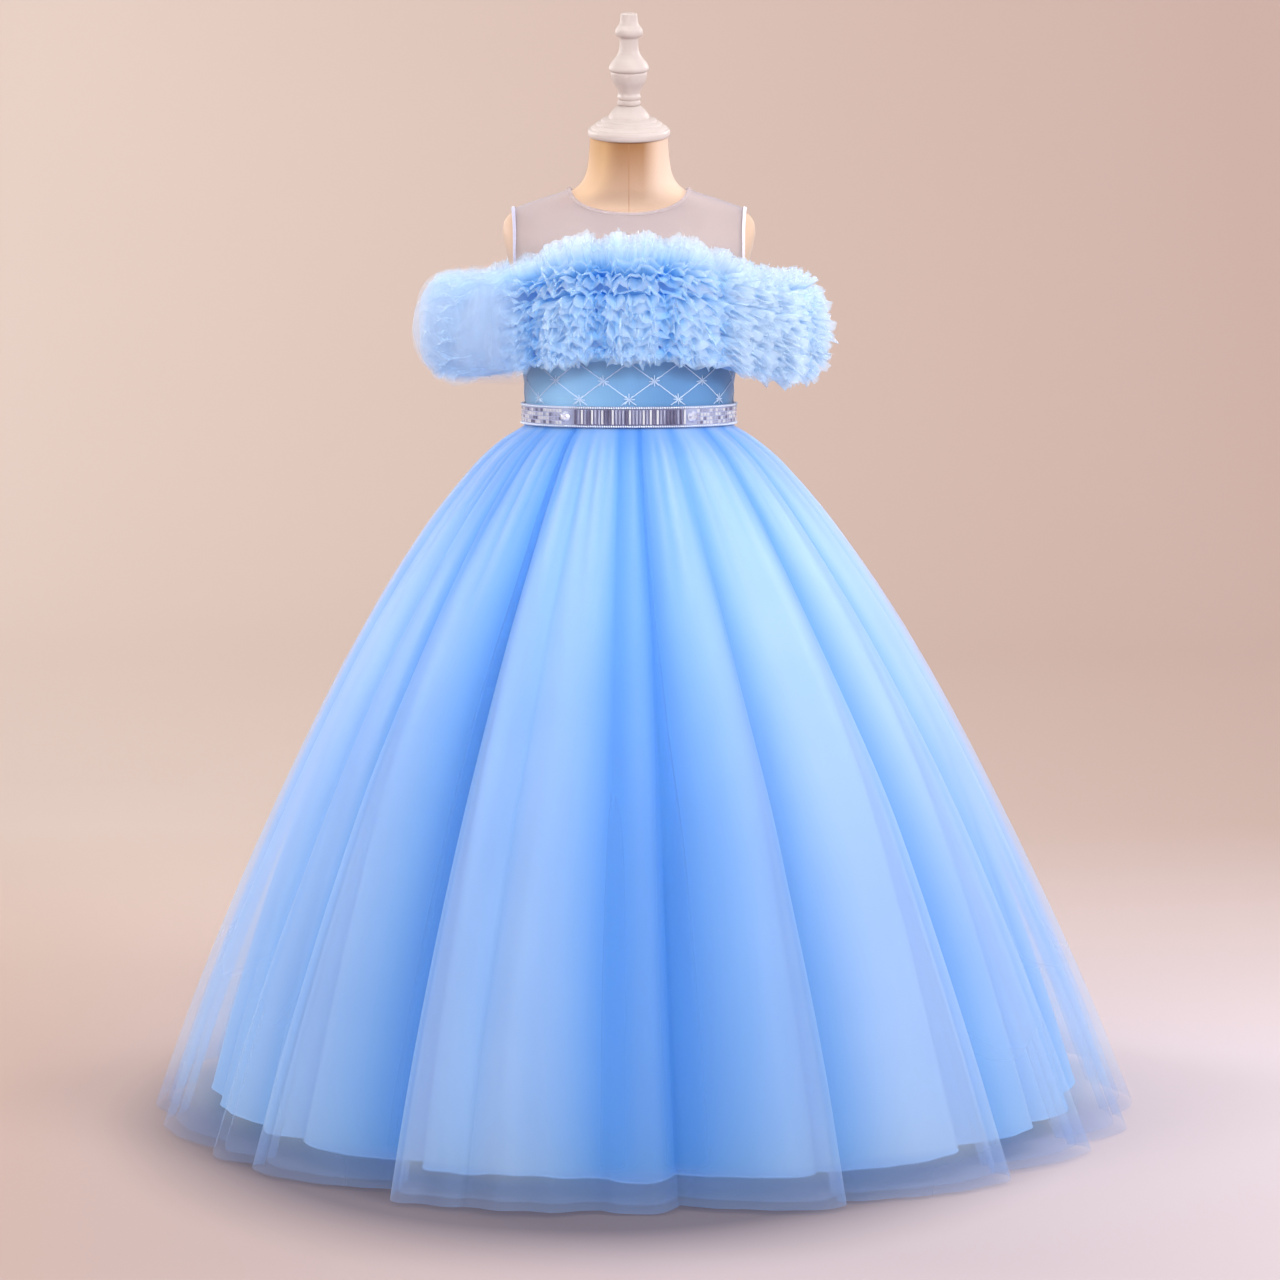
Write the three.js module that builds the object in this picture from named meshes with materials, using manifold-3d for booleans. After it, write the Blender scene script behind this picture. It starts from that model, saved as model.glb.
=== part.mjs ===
// A girl's floor-length tulle ball gown standing on a limbless dress form.
// Millimetres, +Z up, the front of the gown faces -Y, the origin is on the floor under the form's pole.
// Cloth is built as walls: a grid of points on a named surface, thickened along the surface's normals.
import * as THREE from "three";
import { mergeVertices } from "three/addons/utils/BufferGeometryUtils.js";
import Module from "manifold-3d";

const solid = await Module();
solid.setup();

// ---------------------------------------------------------------- driving dimensions
const SEAM_GAP = 0.3; // between neighbouring pieces
const WAIST_Z = 700; // waist seam, under the belt
const BUST_Z = 790; // from here up the form's surface turns faster
const BODICE_TOP_Z = 850; // where the sheer yoke starts
const NECK_HALF_WIDTH = 57; // neckline, at the shoulder seams
const NECK_FRONT_Z = 900; // lowest point of the front neckline
const NECK_BACK_Z = 913; // lowest point of the back neckline
const ARMHOLE_TOP_X = 117; // shoulder tip of the yoke
const ARMHOLE_LOW_X = 112; // armhole edge where the yoke meets the bodice
const ARMHOLE_DIP = 34; // how far the bodice dips under the arm
const BELT = { low: 689.5, high: 710.5, inner: 4.3, outer: 6.2 };
const BELT_STONE = { x: 60, radius: 5.5, height: 3 };
const BODICE_WALL = { inner: 1.0, outer: 2.5 };
const YOKE_WALL = { inner: 1.5, outer: 2.5 };
const BINDING_WALL = { inner: 3.4, outer: 4.4, width: 4 };
const ZIP = { halfWidth: 3, low: 712, high: 909, inner: 1.0, outer: 2.4 };
const SLIDER = { z: 897, width: 7, length: 8, low: 2.9, high: 4.7, barHeight: 7.2, barRadius: 0.8 };
const PULL = { width: 2.6, length: 17, halfThick: 0.6, eyeInner: 1.3, eyeOuter: 2.1 };
const BACK_OPENING = ZIP.halfWidth + SEAM_GAP; // half the gap between the back panels
const SKIRT_WALL = 1.0;
const LINING_HEM_Z = 20;
const TULLE_HEM_Z = 4;
const SKIRT_SWAY = { x: 15, y: -10 }; // the hem hangs this far from the middle of the form
const RUFFLE_WALL = 1.0;
const FORM_INSET = 1.2; // the form's own surface lies this far inside the surface the cloth is measured from
const STAND = { poleRadius: 12, torsoBottomZ: 560 };
const NECK_TILT = THREE.MathUtils.degToRad(10); // the top of the neck, with its cap, leans forward
const NECK_TILT_FROM_Z = 948;

// Horizontal sections of the dress form's torso. square is the exponent of the superellipse.
const TORSO_SECTIONS = [
  { z: 560, halfWidth: 110, halfDepth: 84, yCentre: 3, square: 2.2 },
  { z: 620, halfWidth: 114, halfDepth: 87, yCentre: 3, square: 2.2 },
  { z: 660, halfWidth: 106, halfDepth: 82, yCentre: 1, square: 2.2 },
  { z: 700, halfWidth: 101.5, halfDepth: 79, yCentre: -1, square: 2.2 },
  { z: 745, halfWidth: 105, halfDepth: 82, yCentre: -2, square: 2.2 },
  { z: 790, halfWidth: 109, halfDepth: 87, yCentre: -3, square: 2.2 },
  { z: 815, halfWidth: 113, halfDepth: 90, yCentre: -3, square: 2.2 },
  { z: 845, halfWidth: 120, halfDepth: 86, yCentre: -1, square: 2.2 },
  { z: 868, halfWidth: 126, halfDepth: 74, yCentre: 2, square: 2.2 },
  { z: 884, halfWidth: 128, halfDepth: 60, yCentre: 4, square: 2.15 },
  { z: 896, halfWidth: 124, halfDepth: 49, yCentre: 4, square: 2.1 },
  { z: 904, halfWidth: 112, halfDepth: 44, yCentre: 3, square: 2 },
  { z: 913, halfWidth: 87, halfDepth: 43, yCentre: 2, square: 2 },
  { z: 922, halfWidth: 60, halfDepth: 43, yCentre: 0, square: 2 },
  { z: 932, halfWidth: 48, halfDepth: 42, yCentre: -1, square: 2 },
  { z: 948, halfWidth: 42.5, halfDepth: 40, yCentre: -2, square: 2 },
  { z: 976, halfWidth: 40, halfDepth: 38, yCentre: -3, square: 2 },
];

// Skirt profile: radius of the fold crests and depth of the folds, for the sheer outer layer and the lining.
// depthRatio is the plan's front-to-back size over its width, square its superellipse exponent.
const SKIRT_PROFILE = [
  { z: 699, tulle: 104.2, tulleFold: 0, lining: 102.2, liningFold: 0, depthRatio: 0.785, square: 2.2 },
  { z: 688.5, tulle: 104.2, tulleFold: 0, lining: 102.2, liningFold: 0, depthRatio: 0.785, square: 2.2 },
  { z: 685.5, tulle: 109, tulleFold: 1, lining: 102.5, liningFold: 0.1, depthRatio: 0.79, square: 2.2 },
  { z: 674, tulle: 127, tulleFold: 7, lining: 117, liningFold: 4, depthRatio: 0.83, square: 2.15 },
  { z: 650, tulle: 155, tulleFold: 12, lining: 143, liningFold: 7, depthRatio: 0.88, square: 2.05 },
  { z: 590, tulle: 206, tulleFold: 18, lining: 195, liningFold: 12, depthRatio: 0.94, square: 2 },
  { z: 500, tulle: 268, tulleFold: 23, lining: 254, liningFold: 16, depthRatio: 0.98, square: 2 },
  { z: 390, tulle: 330, tulleFold: 28, lining: 312, liningFold: 20, depthRatio: 1, square: 2 },
  { z: 250, tulle: 398, tulleFold: 33, lining: 367, liningFold: 24, depthRatio: 1, square: 2 },
  { z: 120, tulle: 455, tulleFold: 37, lining: 411, liningFold: 28, depthRatio: 1, square: 2 },
  { z: 4, tulle: 500, tulleFold: 41, lining: 446, liningFold: 31, depthRatio: 1, square: 2 },
];

// Each fold of the skirt runs from its own valley to the next one. Azimuths are in degrees from the front
// towards +X, at the hem and at the waist. Height and floor are shares of the full fold depth, at the fold's
// crest and in the valley that it starts from; lean moves the crest sideways.
const SKIRT_FOLDS = [
  { hem: -180, waist: -180, height: 0.95, floor: 0.3, lean: -0.12 },
  { hem: -161, waist: -162, height: 0.8, floor: 0.45, lean: 0.1 },
  { hem: -143, waist: -143, height: 1, floor: 0.1, lean: -0.2 },
  { hem: -126, waist: -126, height: 0.9, floor: 0.5, lean: 0.08 },
  { hem: -108, waist: -109, height: 0.95, floor: 0.25, lean: -0.1 },
  { hem: -93, waist: -93, height: 0.9, floor: 0.4, lean: 0.05 },
  { hem: -78, waist: -78, height: 0.95, floor: 0.5, lean: -0.05 },
  { hem: -60, waist: -59, height: 0.85, floor: 0.5, lean: -0.05 },
  { hem: -49.5, waist: -50, height: 0.85, floor: 0.35, lean: -0.24 },
  { hem: -29.5, waist: -28, height: 1, floor: 0, lean: -0.12 },
  { hem: -19.5, waist: -17.5, height: 1.02, floor: 0.82, lean: -0.14 },
  { hem: -4.5, waist: -4, height: 0.55, floor: 0.42, lean: 0.05 },
  { hem: 4, waist: 4.5, height: 1, floor: 0.02, lean: 0.24 },
  { hem: 22, waist: 20.5, height: 1.05, floor: 0.35, lean: 0.24 },
  { hem: 44, waist: 43, height: 1, floor: 0.25, lean: 0.2 },
  { hem: 61.5, waist: 61, height: 1, floor: 0.2, lean: 0.12 },
  { hem: 77, waist: 76, height: 0.95, floor: 0.5, lean: -0.08 },
  { hem: 94, waist: 94, height: 1, floor: 0.3, lean: 0.12 },
  { hem: 112, waist: 111, height: 0.85, floor: 0.5, lean: -0.1 },
  { hem: 128, waist: 128, height: 1, floor: 0.1, lean: 0.2 },
  { hem: 147, waist: 147, height: 0.85, floor: 0.45, lean: 0 },
  { hem: 163, waist: 163, height: 0.95, floor: 0.35, lean: 0.12 },
];
// Where a fold has a column, from its valley to the next.
const FOLD_STEPS = { tulle: [0, 0.18, 0.4, 0.62, 0.84], lining: [0, 0.3, 0.68] };

// The loop of the off-shoulder band in plan, from the front centre to the side, along the bust and round the arm.
const BAND_LOOP = [
  { x: 0, y: 97 },
  { x: 38, y: 91.8 },
  { x: 74, y: 79.4 },
  { x: 94, y: 69.5 },
  { x: 120, y: 54 },
  { x: 147, y: 36 },
  { x: 163, y: 18 },
  { x: 168, y: 0 },
];
// The band's height at the front, how far it drops at the arms and between which distances from the middle,
// and how far its sides lie towards -X.
const BAND = { low: 762, high: 846, wall: 1.5, drop: 24, dropFrom: 30, dropTo: 150, yCentre: -3, shift: -8 };
const BAND_COLUMNS = 64;

// Ruffle rows sewn on the band: height of the sewn edge at the front and at the arms, how far the free edge
// stands out and rises, the pleats round the loop, their depth, and the share of the rise lost at the arms.
const RUFFLE_ROWS = [
  { name: "ruffle_top_frill", root: 843, armRoot: 819, reach: 9, rise: 42, pleats: 16, depth: 5, sideLoss: 0.35 },
  { name: "ruffle_row_1", root: 836, armRoot: 812, reach: 33, rise: 13, pleats: 14, depth: 7, sideLoss: 0.3 },
  { name: "ruffle_row_2", root: 820, armRoot: 797, reach: 42, rise: -4, pleats: 14, depth: 7, sideLoss: 0 },
  { name: "ruffle_row_3", root: 803, armRoot: 781, reach: 44, rise: -13, pleats: 14, depth: 7, sideLoss: 0 },
  { name: "ruffle_row_4", root: 786, armRoot: 765, reach: 39, rise: -17, pleats: 14, depth: 6, sideLoss: 0 },
  { name: "ruffle_row_5", root: 768, armRoot: 750, reach: 30, rise: -16, pleats: 14, depth: 4, sideLoss: 0 },
];
const RUFFLE_BACK_GAP = 0.006; // share of the loop left open on each side of the zip

const quarterTurn = Math.PI / 2;

// ---------------------------------------------------------------- materials
const paint = (color, roughness) => new THREE.MeshStandardMaterial({ color, roughness, metalness: 0 });
const MATERIALS = {
  form: paint(0xe2c09a, 0.8),
  wood: paint(0xe9ddd6, 0.45),
  satin: paint(0x86b4ee, 0.5),
  tulle: paint(0xb4ccf5, 0.9),
  ruffle: paint(0xb9d0f6, 0.95),
  mesh: paint(0xd6cfe0, 0.9),
  belt: paint(0xc9cbe0, 0.25),
  metal: paint(0xb8c4dd, 0.3),
};

const gown = new THREE.Group();

function place(name, geometry, material) {
  const mesh = new THREE.Mesh(geometry, material);
  mesh.name = name;
  gown.add(mesh);
  return mesh;
}

// ---------------------------------------------------------------- small mathematics
const clamp01 = (t) => Math.min(1, Math.max(0, t));
const smooth = (t) => clamp01(t) ** 2 * (3 - 2 * clamp01(t));
const mix = (a, b, t) => a + (b - a) * t;
const radians = THREE.MathUtils.degToRad;
const spread = (from, to, steps) => Array.from({ length: steps + 1 }, (_, i) => mix(from, to, i / steps));
const signedPower = (value, power) => Math.sign(value) * Math.abs(value) ** power;

// Smooth value of one column of a table whose rows are ordered by a key, through every row.
function along(table, key, column, at) {
  const up = table[table.length - 1][key] > table[0][key] ? 1 : -1;
  let i = 0;
  while (i < table.length - 2 && up * (at - table[i + 1][key]) > 0) i += 1;
  const slope = (j) => {
    const before = table[Math.max(0, j - 1)];
    const after = table[Math.min(table.length - 1, j + 1)];
    return (after[column] - before[column]) / (after[key] - before[key]);
  };
  const width = table[i + 1][key] - table[i][key];
  const t = clamp01((at - table[i][key]) / width);
  const [a, b] = [table[i][column], table[i + 1][column]];
  const [ta, tb] = [slope(i) * width, slope(i + 1) * width];
  const ease = 3 * t ** 2 - 2 * t ** 3;
  return a * (1 - ease) + ta * (t ** 3 - 2 * t ** 2 + t) + b * ease + tb * (t ** 3 - t ** 2);
}

// A closed solid from a grid of inner points and a grid of outer points, rows of the same length.
function wallBetween(inner, outer, closed = false) {
  const rows = inner.length;
  const columns = inner[0].length;
  const positions = [...inner.flat(), ...outer.flat()].flatMap((p) => [p.x, p.y, p.z]);
  const at = (side, r, c) => side * rows * columns + r * columns + (c % columns);
  const index = [];
  const quad = (a, b, c, d) => index.push(a, b, c, a, c, d);
  const last = closed ? columns : columns - 1;
  for (let r = 0; r < rows - 1; r += 1) {
    for (let c = 0; c < last; c += 1) {
      quad(at(0, r, c), at(0, r + 1, c), at(0, r + 1, c + 1), at(0, r, c + 1));
      quad(at(1, r, c), at(1, r, c + 1), at(1, r + 1, c + 1), at(1, r + 1, c));
    }
  }
  for (let c = 0; c < last; c += 1) {
    quad(at(0, 0, c), at(0, 0, c + 1), at(1, 0, c + 1), at(1, 0, c));
    quad(at(0, rows - 1, c + 1), at(0, rows - 1, c), at(1, rows - 1, c), at(1, rows - 1, c + 1));
  }
  if (!closed) {
    for (let r = 0; r < rows - 1; r += 1) {
      quad(at(0, r + 1, 0), at(0, r, 0), at(1, r, 0), at(1, r + 1, 0));
      quad(at(0, r, last), at(0, r + 1, last), at(1, r + 1, last), at(1, r, last));
    }
  }
  const geometry = new THREE.BufferGeometry();
  geometry.setAttribute("position", new THREE.Float32BufferAttribute(positions, 3));
  geometry.setIndex(index);
  return geometry;
}

// The outward normal of surface(u, v), where u runs towards +X seen from the front and v upwards.
function normalAt(surface, u, v, du, dv) {
  const acrossU = surface(u + du, v).sub(surface(u - du, v));
  const acrossV = surface(u, v + dv).sub(surface(u, v - dv));
  return acrossU.cross(acrossV).normalize();
}

// A wall on a surface: rows of v, columns of u, from one distance off the surface to another.
function wallOn(surface, rows, columnsOf, wall, { closed = false, du = 1e-3, dv = 1e-3 } = {}) {
  const place = (u, v) => ({ p: surface(u, v), n: normalAt(surface, u, v, du, dv) });
  const grid = rows.map((v) => columnsOf(v).map((u) => place(u, v)));
  const shifted = (by) => grid.map((row) => row.map(({ p, n }) => p.clone().addScaledVector(n, by)));
  return wallBetween(shifted(wall.inner), shifted(wall.outer), closed);
}

// Several overlapping solids as one.
function joined(geometries) {
  const solids = geometries.map((geometry) => {
    const bare = new THREE.BufferGeometry();
    bare.setAttribute("position", geometry.toNonIndexed().getAttribute("position"));
    const merged = mergeVertices(bare, 1e-4);
    const vertProperties = merged.attributes.position.array;
    const triVerts = new Uint32Array(merged.index.array);
    return new solid.Manifold(new solid.Mesh({ numProp: 3, vertProperties, triVerts }));
  });
  const { vertProperties, triVerts } = solids.reduce((sum, next) => sum.add(next)).getMesh();
  const geometry = new THREE.BufferGeometry();
  geometry.setAttribute("position", new THREE.Float32BufferAttribute(vertProperties, 3));
  geometry.setIndex([...triVerts]);
  return geometry;
}

// ---------------------------------------------------------------- dress form
const section = (column, z) => along(TORSO_SECTIONS, "z", column, z);

// Torso point at an azimuth from the front, in degrees towards +X.
function torsoPoint(azimuth, z, off = 0) {
  const power = 2 / section("square", z);
  const a = radians(azimuth);
  const x = (section("halfWidth", z) + off) * signedPower(Math.sin(a), power);
  const y = section("yCentre", z) - (section("halfDepth", z) + off) * signedPower(Math.cos(a), power);
  return new THREE.Vector3(x, y, z);
}

// Outward normal of the torso at a point on it.
function torsoNormal({ x, y, z }) {
  const level = (px, py, pz) => {
    const across = Math.abs(px) / section("halfWidth", pz);
    const deep = Math.abs(py - section("yCentre", pz)) / section("halfDepth", pz);
    return across ** section("square", pz) + deep ** section("square", pz);
  };
  const h = 0.05;
  const slopeX = level(x + h, y, z) - level(x - h, y, z);
  const slopeY = level(x, y + h, z) - level(x, y - h, z);
  const slopeZ = level(x, y, z + h) - level(x, y, z - h);
  return new THREE.Vector3(slopeX, slopeY, slopeZ).normalize();
}

// A wall on a grid of torso points, between two distances off it. Rows go up, columns towards +X at the front.
function wallOnTorso(grid, wall) {
  const shifted = (by) => grid.map((row) => row.map((p) => p.clone().addScaledVector(torsoNormal(p), by)));
  return wallBetween(shifted(wall.inner), shifted(wall.outer));
}

function torsoGeometry() {
  const columns = spread(-180, 180, 24).slice(0, -1);
  const tops = TORSO_SECTIONS.map((row) => row.z);
  const between = (z, i) => (z >= BUST_Z && i < tops.length - 1 ? [mix(z, tops[i + 1], 0.5)] : []);
  const heights = tops.flatMap((z, i) => [z, ...between(z, i)]);
  // The rings near the top of the neck lean forward with it.
  const leaning = (p, z) => {
    const share = smooth((z - NECK_TILT_FROM_Z) / (tops.at(-1) - NECK_TILT_FROM_Z));
    return p.setZ(z + (p.y - section("yCentre", z)) * Math.tan(NECK_TILT) * share);
  };
  const rings = heights.map((z) => columns.map((azimuth) => leaning(torsoPoint(azimuth, z, -FORM_INSET), z)));
  const ends = [heights[0], heights.at(-1)].map((z) => new THREE.Vector3(0, section("yCentre", z), z));
  const positions = [...rings.flat(), ...ends];
  const index = [];
  const n = columns.length;
  rings.forEach((_, r) => {
    columns.forEach((_, c) => {
      const next = (c + 1) % n;
      if (r < rings.length - 1) {
        const above = (r + 1) * n;
        index.push(r * n + c, r * n + next, above + next, r * n + c, above + next, above + c);
      } else {
        index.push(r * n + c, r * n + next, rings.length * n + 1);
      }
      if (r === 0) index.push(next, c, rings.length * n);
    });
  });
  const numbers = positions.flatMap((p) => [p.x, p.y, p.z]);
  const geometry = new THREE.BufferGeometry();
  geometry.setAttribute("position", new THREE.Float32BufferAttribute(numbers, 3));
  geometry.setIndex(index);
  return geometry;
}

// A turned piece from a profile of [radius, z] that starts and ends on the axis.
function turned(profile, segments) {
  const outline = profile.map(([r, z]) => new THREE.Vector2(r, z));
  return new THREE.LatheGeometry(outline, segments).rotateX(Math.PI / 2);
}

// Half outlines of the form's turned pieces, as [radius, height] from the bottom up, without their ends on the axis.
const BASE_PROFILE = [[138, 0], [140, 2], [140, 9], [135, 14], [34, 17], [24, 30]];
const CAP_PROFILE = [
  [39.5, 0], [41, 1.5], [41, 7], [39.5, 8.5], [34, 13], [30, 15.5],
  [29, 17.5], [24.5, 19], [20, 19.8], [19, 22.5], [15.5, 27], [11, 31.5],
];
const FINIAL_PROFILE = [
  [11, 0], [11.3, 4.3], [10.2, 5.2], [11.4, 6.5], [11.4, 10], [10.8, 12.2], [13.6, 18.6], [17, 24.3],
  [18.2, 31.4], [17.6, 33.3], [19.7, 35], [19.9, 38], [17.9, 41.4], [13.6, 47.1], [10.2, 52], [9.4, 56],
  [9.3, 67], [13.2, 70.5], [13.4, 75], [9.6, 80], [8.8, 83], [8.2, 90.7],
];
const heightOf = (profile) => profile.at(-1)[1];

function addDressForm() {
  const { poleRadius, torsoBottomZ } = STAND;
  const closed = (profile) => [[0, profile[0][1]], ...profile, [0, heightOf(profile)]];
  place("form_base", turned(closed(BASE_PROFILE), 28), MATERIALS.wood);
  const low = heightOf(BASE_PROFILE) + SEAM_GAP;
  const high = torsoBottomZ - SEAM_GAP;
  const pole = [[poleRadius, low], [poleRadius, high - 12], [26, high - 8], [26, high]];
  place("form_pole", turned(closed(pole), 24), MATERIALS.wood);
  place("form_torso", torsoGeometry(), MATERIALS.form);

  // Neck cap and finial, turned in wood, square to the neck's leaning top.
  const neckTop = TORSO_SECTIONS.at(-1);
  const onNeck = (name, profile, segments, up) => {
    const piece = place(name, turned(closed(profile), segments), MATERIALS.wood);
    piece.rotation.x = NECK_TILT;
    piece.position.set(0, neckTop.yCentre - up * Math.sin(NECK_TILT), neckTop.z + up * Math.cos(NECK_TILT));
  };
  onNeck("form_cap", CAP_PROFILE, 24, SEAM_GAP);
  onNeck("form_finial", FINIAL_PROFILE, 16, heightOf(CAP_PROFILE) + 2 * SEAM_GAP);
}

// ---------------------------------------------------------------- bodice and yoke
// Azimuth at which the torso is x wide, on the front half.
function azimuthOf(x, z) {
  const share = Math.min(1, Math.abs(x) / section("halfWidth", z));
  return Math.sign(x) * THREE.MathUtils.radToDeg(Math.asin(share ** (section("square", z) / 2)));
}

// Top edge of the bodice: level, with a dip under each arm.
function bodiceTop(azimuth) {
  const edge = azimuthOf(ARMHOLE_LOW_X, BODICE_TOP_Z);
  const fromSide = Math.abs(Math.abs(azimuth) - 90);
  const share = clamp01(fromSide / (90 - edge));
  return BODICE_TOP_Z - ARMHOLE_DIP * Math.cos((share * Math.PI) / 2) ** 0.8;
}

// Bodice surface: v runs from the waist seam, 0, to the top edge, 1.
function bodicePoint(azimuth, v) {
  return torsoPoint(azimuth, mix(WAIST_Z + SEAM_GAP, bodiceTop(azimuth) - SEAM_GAP, v));
}

// Height of the shoulder ridge above a distance x from the middle, where the torso is just that wide.
function ridgeHeight(x) {
  let [low, high] = [886, 975];
  for (let i = 0; i < 50; i += 1) {
    const middle = (low + high) / 2;
    if (section("halfWidth", middle) > Math.abs(x)) low = middle;
    else high = middle;
  }
  return low;
}

// Yoke surface: w is -1 at the front of the bodice, 0 on the shoulder seam or neckline, and 1 at the back.
function yokePoint(x, w) {
  const inNeck = clamp01(Math.abs(x) / NECK_HALF_WIDTH);
  const neckLow = w < 0 ? NECK_FRONT_Z : NECK_BACK_Z;
  const shoulder = ridgeHeight(Math.max(Math.abs(x), NECK_HALF_WIDTH));
  const top = shoulder - (shoulder - neckLow) * Math.sqrt(1 - inNeck ** 2);
  const z = top - (top - BODICE_TOP_Z - SEAM_GAP) * Math.abs(w) ** (1 + inNeck ** 4);
  const share = Math.min(1, Math.abs(x) / section("halfWidth", z));
  const out = section("halfDepth", z) * (1 - share ** section("square", z)) ** (1 / section("square", z));
  return new THREE.Vector3(x, section("yCentre", z) + Math.sign(w) * out, z);
}

const armholeX = (w) => mix(ARMHOLE_TOP_X, ARMHOLE_LOW_X, Math.abs(w));
const YOKE_ROWS = [0.002, 0.12, 0.24, 0.38, 0.55, 0.76, 1];
const NECK_SHARE = NECK_HALF_WIDTH / ARMHOLE_TOP_X;
const NECK_COLUMNS = spread(0, quarterTurn, 6).map((turn) => NECK_SHARE * Math.sin(turn));
const YOKE_SHARES = [...NECK_COLUMNS, ...spread(NECK_SHARE, 1, 5).slice(1)];

// A yoke panel; side is -1 at the front and 1 at the back, shares are x over the armhole's x, ordered towards +X.
function yokePanel(side, shares) {
  // Rows run upwards, from the bodice to the neck; the back is walked the other way, so that its normals face out.
  const rows = [...YOKE_ROWS].reverse().map((w) => side * w);
  const columns = side < 0 ? shares : [...shares].reverse();
  const grid = rows.map((w) => columns.map((share) => yokePoint(share * armholeX(w), w)));
  return wallOnTorso(grid, YOKE_WALL);
}

function addBodice() {
  const rows = [0, 0.28, 0.55, 0.78, 1];
  const seam = 0.08; // degrees from the side seam
  const panel = (columnsAt) => {
    const grid = rows.map((v) => columnsAt(v).map((azimuth) => bodicePoint(azimuth, v)));
    return wallOnTorso(grid, BODICE_WALL);
  };
  const frontColumns = spread(-90 + seam, 90 - seam, 26);
  place("bodice_front", panel(() => frontColumns), MATERIALS.satin);
  const backColumns = (v) => {
    const z = bodicePoint(180, v).z;
    return spread(90 + seam, 180 - azimuthOf(BACK_OPENING, z), 12);
  };
  place("bodice_back_right", panel(backColumns), MATERIALS.satin);
  const leftColumns = (v) => backColumns(v).map((azimuth) => -azimuth).reverse();
  place("bodice_back_left", panel(leftColumns), MATERIALS.satin);

  const mirrored = YOKE_SHARES.slice(1).map((share) => -share).reverse();
  place("yoke_front", yokePanel(-1, [...mirrored, ...YOKE_SHARES]), MATERIALS.mesh);
  const backShares = [BACK_OPENING / ARMHOLE_TOP_X, ...YOKE_SHARES.slice(1)];
  place("yoke_back_right", yokePanel(1, backShares), MATERIALS.mesh);
  place("yoke_back_left", yokePanel(1, backShares.map((share) => -share).reverse()), MATERIALS.mesh);
}

// A narrow strip that lies on a surface along a line; frameAt(t) gives the line's point, width axis and normal.
function strip(steps, frameAt, width, wall) {
  const edges = [-width / 2, width / 2];
  const grid = (by) =>
    edges.map((edge) =>
      steps.map((t) => {
        const { p, across, normal } = frameAt(t);
        return p.clone().addScaledVector(across, edge).addScaledVector(normal, by);
      }),
    );
  return wallBetween(grid(wall.inner), grid(wall.outer));
}

// ---------------------------------------------------------------- belt, zip and bindings
function addTrims() {
  const beltPoint = (azimuth, v) => torsoPoint(azimuth, WAIST_Z).setZ(mix(BELT.low, BELT.high, v));
  const beltGap = 180 - azimuthOf(BACK_OPENING, WAIST_Z);
  const beltColumns = spread(-beltGap, beltGap, 50);
  place("belt_band", wallOn(beltPoint, [0, 1], () => beltColumns, BELT), MATERIALS.belt);

  // Two large cut stones on the front of the belt, each a low dome on the belt's outer face.
  const { radius, height } = BELT_STONE;
  const dome = [[0, 0], [radius, 0], [radius, 1], [radius * 0.6, height], [0, height]];
  for (const side of [-1, 1]) {
    const seat = torsoPoint(azimuthOf(side * BELT_STONE.x, WAIST_Z), WAIST_Z);
    const normal = torsoNormal(seat).setZ(0).normalize();
    const stone = place(side < 0 ? "belt_stone_left" : "belt_stone_right", turned(dome, 12), MATERIALS.metal);
    stone.position.copy(seat.addScaledVector(normal, BELT.outer + SEAM_GAP));
    stone.quaternion.setFromUnitVectors(new THREE.Vector3(0, 0, 1), normal);
  }

  // Zip tape: one flat strip down the middle of the back, from the nape to the waist seam.
  const zipHeights = [...spread(ZIP.low, BODICE_TOP_Z, 8), ...spread(BODICE_TOP_Z, ZIP.high, 6).slice(1)];
  const backDepth = (z) => section("yCentre", z) + section("halfDepth", z);
  const zipFrame = (z) => {
    const up = new THREE.Vector3(0, backDepth(z + 0.5) - backDepth(z - 0.5), 1).normalize();
    const across = new THREE.Vector3(-1, 0, 0);
    return { p: new THREE.Vector3(0, backDepth(z), z), across, normal: across.clone().cross(up) };
  };
  place("zip_tape", strip(zipHeights, zipFrame, -2 * ZIP.halfWidth, ZIP), MATERIALS.satin);

  // Bindings: a narrow strip along an edge of the yoke, on its outer side.
  const binding = (points, inward, segments) => {
    const curve = new THREE.CatmullRomCurve3(points, false, "centripetal");
    const frameAt = (t) => {
      const p = curve.getPointAt(t);
      const normal = torsoNormal(p);
      const across = normal.clone().cross(curve.getTangentAt(t)).normalize().multiplyScalar(inward);
      return { p: p.clone().addScaledVector(across, BINDING_WALL.width / 2 + 0.2), across, normal };
    };
    return strip(spread(0, 1, segments), frameAt, inward * BINDING_WALL.width, BINDING_WALL);
  };
  const neckEdge = (side, from, to) =>
    spread(from, to, 20).map((turn) => {
      const x = NECK_HALF_WIDTH * Math.sin(turn);
      return yokePoint(x, side * 0.002);
    });
  const backStart = Math.asin(BACK_OPENING / NECK_HALF_WIDTH);
  const front = neckEdge(-1, -quarterTurn, quarterTurn);
  const backRight = neckEdge(1, quarterTurn, backStart).slice(1);
  const backLeft = neckEdge(1, -backStart, -quarterTurn).slice(0, -1);
  place("neck_binding", binding([...backLeft, ...front, ...backRight], -1, 44), MATERIALS.mesh);
  for (const side of [-1, 1]) {
    const edge = spread(-1, 1, 24).map((w) => yokePoint(side * armholeX(w), w));
    const name = side < 0 ? "armhole_binding_left" : "armhole_binding_right";
    place(name, binding(edge, side, 16), MATERIALS.mesh);
  }

  addZipPull(zipFrame);
}

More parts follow.
